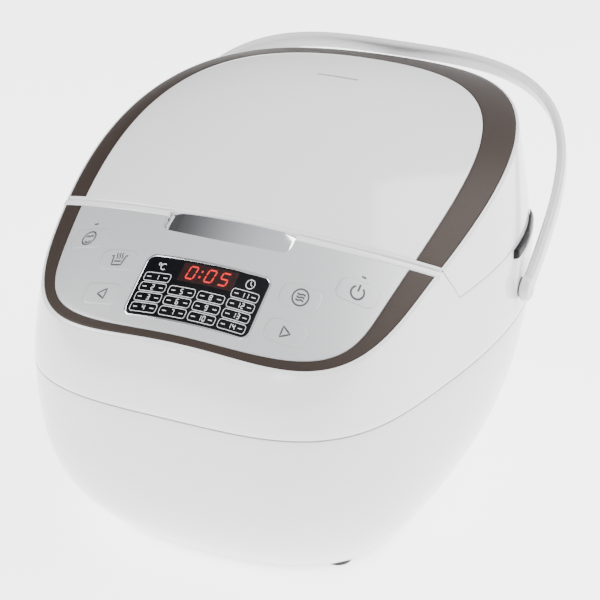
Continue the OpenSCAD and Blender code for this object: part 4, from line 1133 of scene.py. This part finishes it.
# ---------------------------------------------------------------- springs, softened CAD pieces
def spring_tree(material):
    names = ("Turns", "Coil radius", "Low", "High", "Wire")
    kinds = [(n, "NodeSocketFloat") for n in names]
    tree, first, last = geometry_tree("wound_spring", kinds)
    link = tree.links.new
    line = node(tree, "GeometryNodeCurvePrimitiveLine")
    fine = node(tree, "GeometryNodeResampleCurve")
    fine.inputs["Count"].default_value = 220
    link(line.outputs[0], fine.inputs["Curve"])
    along = node(tree, "GeometryNodeSplineParameter")
    turned = math_node(tree, "MULTIPLY", along.outputs["Factor"], first.outputs["Turns"])
    angle = math_node(tree, "MULTIPLY", turned, 2 * math.pi)
    x = math_node(tree, "MULTIPLY", math_node(tree, "COSINE", angle), first.outputs["Coil radius"])
    y = math_node(tree, "MULTIPLY", math_node(tree, "SINE", angle), first.outputs["Coil radius"])
    rise = math_node(tree, "SUBTRACT", first.outputs["High"], first.outputs["Low"])
    risen = math_node(tree, "MULTIPLY", rise, along.outputs["Factor"])
    z = math_node(tree, "ADD", first.outputs["Low"], risen)
    spot = node(tree, "ShaderNodeCombineXYZ")
    for i, v in enumerate((x, y, z)):
        link(v, spot.inputs[i])
    bend = node(tree, "GeometryNodeSetPosition")
    link(fine.outputs[0], bend.inputs["Geometry"])
    link(spot.outputs[0], bend.inputs["Position"])
    pen = node(tree, "GeometryNodeCurvePrimitiveCircle")
    pen.inputs["Resolution"].default_value = 8
    link(first.outputs["Wire"], pen.inputs["Radius"])
    sweep = node(tree, "GeometryNodeCurveToMesh")
    sweep.inputs["Fill Caps"].default_value = True
    link(bend.outputs[0], sweep.inputs["Curve"])
    link(pen.outputs[0], sweep.inputs["Profile Curve"])
    place = node(tree, "GeometryNodeInstanceOnPoints")
    link(first.outputs["Geometry"], place.inputs["Points"])
    link(sweep.outputs[0], place.inputs["Instance"])
    end_tree(tree, place.outputs[0], last, material)
    return tree


def soften(name, radius, body, segments=2, angle=40):
    """A copy of a CAD piece with its loose triangles merged and its edges rounded."""
    source = frame["nodes"][name]
    bm = bmesh.new()
    bm.from_mesh(source.data)
    bmesh.ops.remove_doubles(bm, verts=bm.verts, dist=2e-6)
    bmesh.ops.dissolve_limit(bm, angle_limit=math.radians(1), verts=bm.verts, edges=bm.edges)
    me = bpy.data.meshes.new(name + "_moulded")
    bm.to_mesh(me)
    bm.free()
    me.materials.append(source.data.materials[0])
    obj = bpy.data.objects.new(name + "_moulded", me)
    bpy.context.scene.collection.objects.link(obj)
    mod = obj.modifiers.new("edges", "BEVEL")
    mod.width, mod.segments, mod.limit_method = radius * MM, segments, "ANGLE"
    mod.angle_limit = math.radians(angle)
    mod.use_clamp_overlap = True
    freeze(obj)
    obj.data.shade_smooth()
    obj.data.set_sharp_from_angle(angle=math.radians(28))
    put(obj, body, name)


def wind_springs():
    """The springs, wound where the solid model has stacks of rings."""
    tree = spring_tree(STEEL)
    for name, turns, wire in (("sensor_spring", 5.5, 0.6), ("button_spring", 6.0, 0.4)):
        spots = [v.co for v in frame["nodes"][name].data.vertices]
        rows = [(min(p[i] for p in spots), max(p[i] for p in spots)) for i in range(3)]
        wide, deep = rows[0][1] - rows[0][0], rows[1][1] - rows[1][0]
        y = sum(rows[1]) / 2
        centres = [sum(rows[0]) / 2]
        if wide > 1.5 * deep:
            centres = [rows[0][0] + deep / 2, rows[0][1] - deep / 2]
        base = bpy.data.meshes.new(name + "_feet")
        base.from_pydata([(x, y, 0) for x in centres], [], [])
        wire *= MM
        coil = run_tree(tree, name + "_wound",
                        {"Turns": turns, "Coil radius": deep / 2 - wire, "Low": rows[2][0] + wire,
                         "High": rows[2][1] - wire, "Wire": wire}, STEEL, base)
        put(coil, "housing", name)


paint_cad_nodes()
add_floor()
build_skirt()
build_shoulder()
build_hubs()
build_panel()
build_sill()
build_display()
build_prints()
build_button()
build_lid()
build_handle()
wind_springs()
for part, radius, body in (("condensate_cup", 0.8, "condensate_cup"), ("cup_dock", 0.5, "housing"),
                           ("power_inlet", 0.4, "housing"), ("hinge_bracket", 0.4, "housing"),
                           ("hinge_arms", 0.4, "lid"), ("lid_catch", 0.3, "lid"),
                           ("latch_hook", 0.3, "latch_hook"), ("lid_knob", 0.8, "lid")):
    soften(part, radius, body)
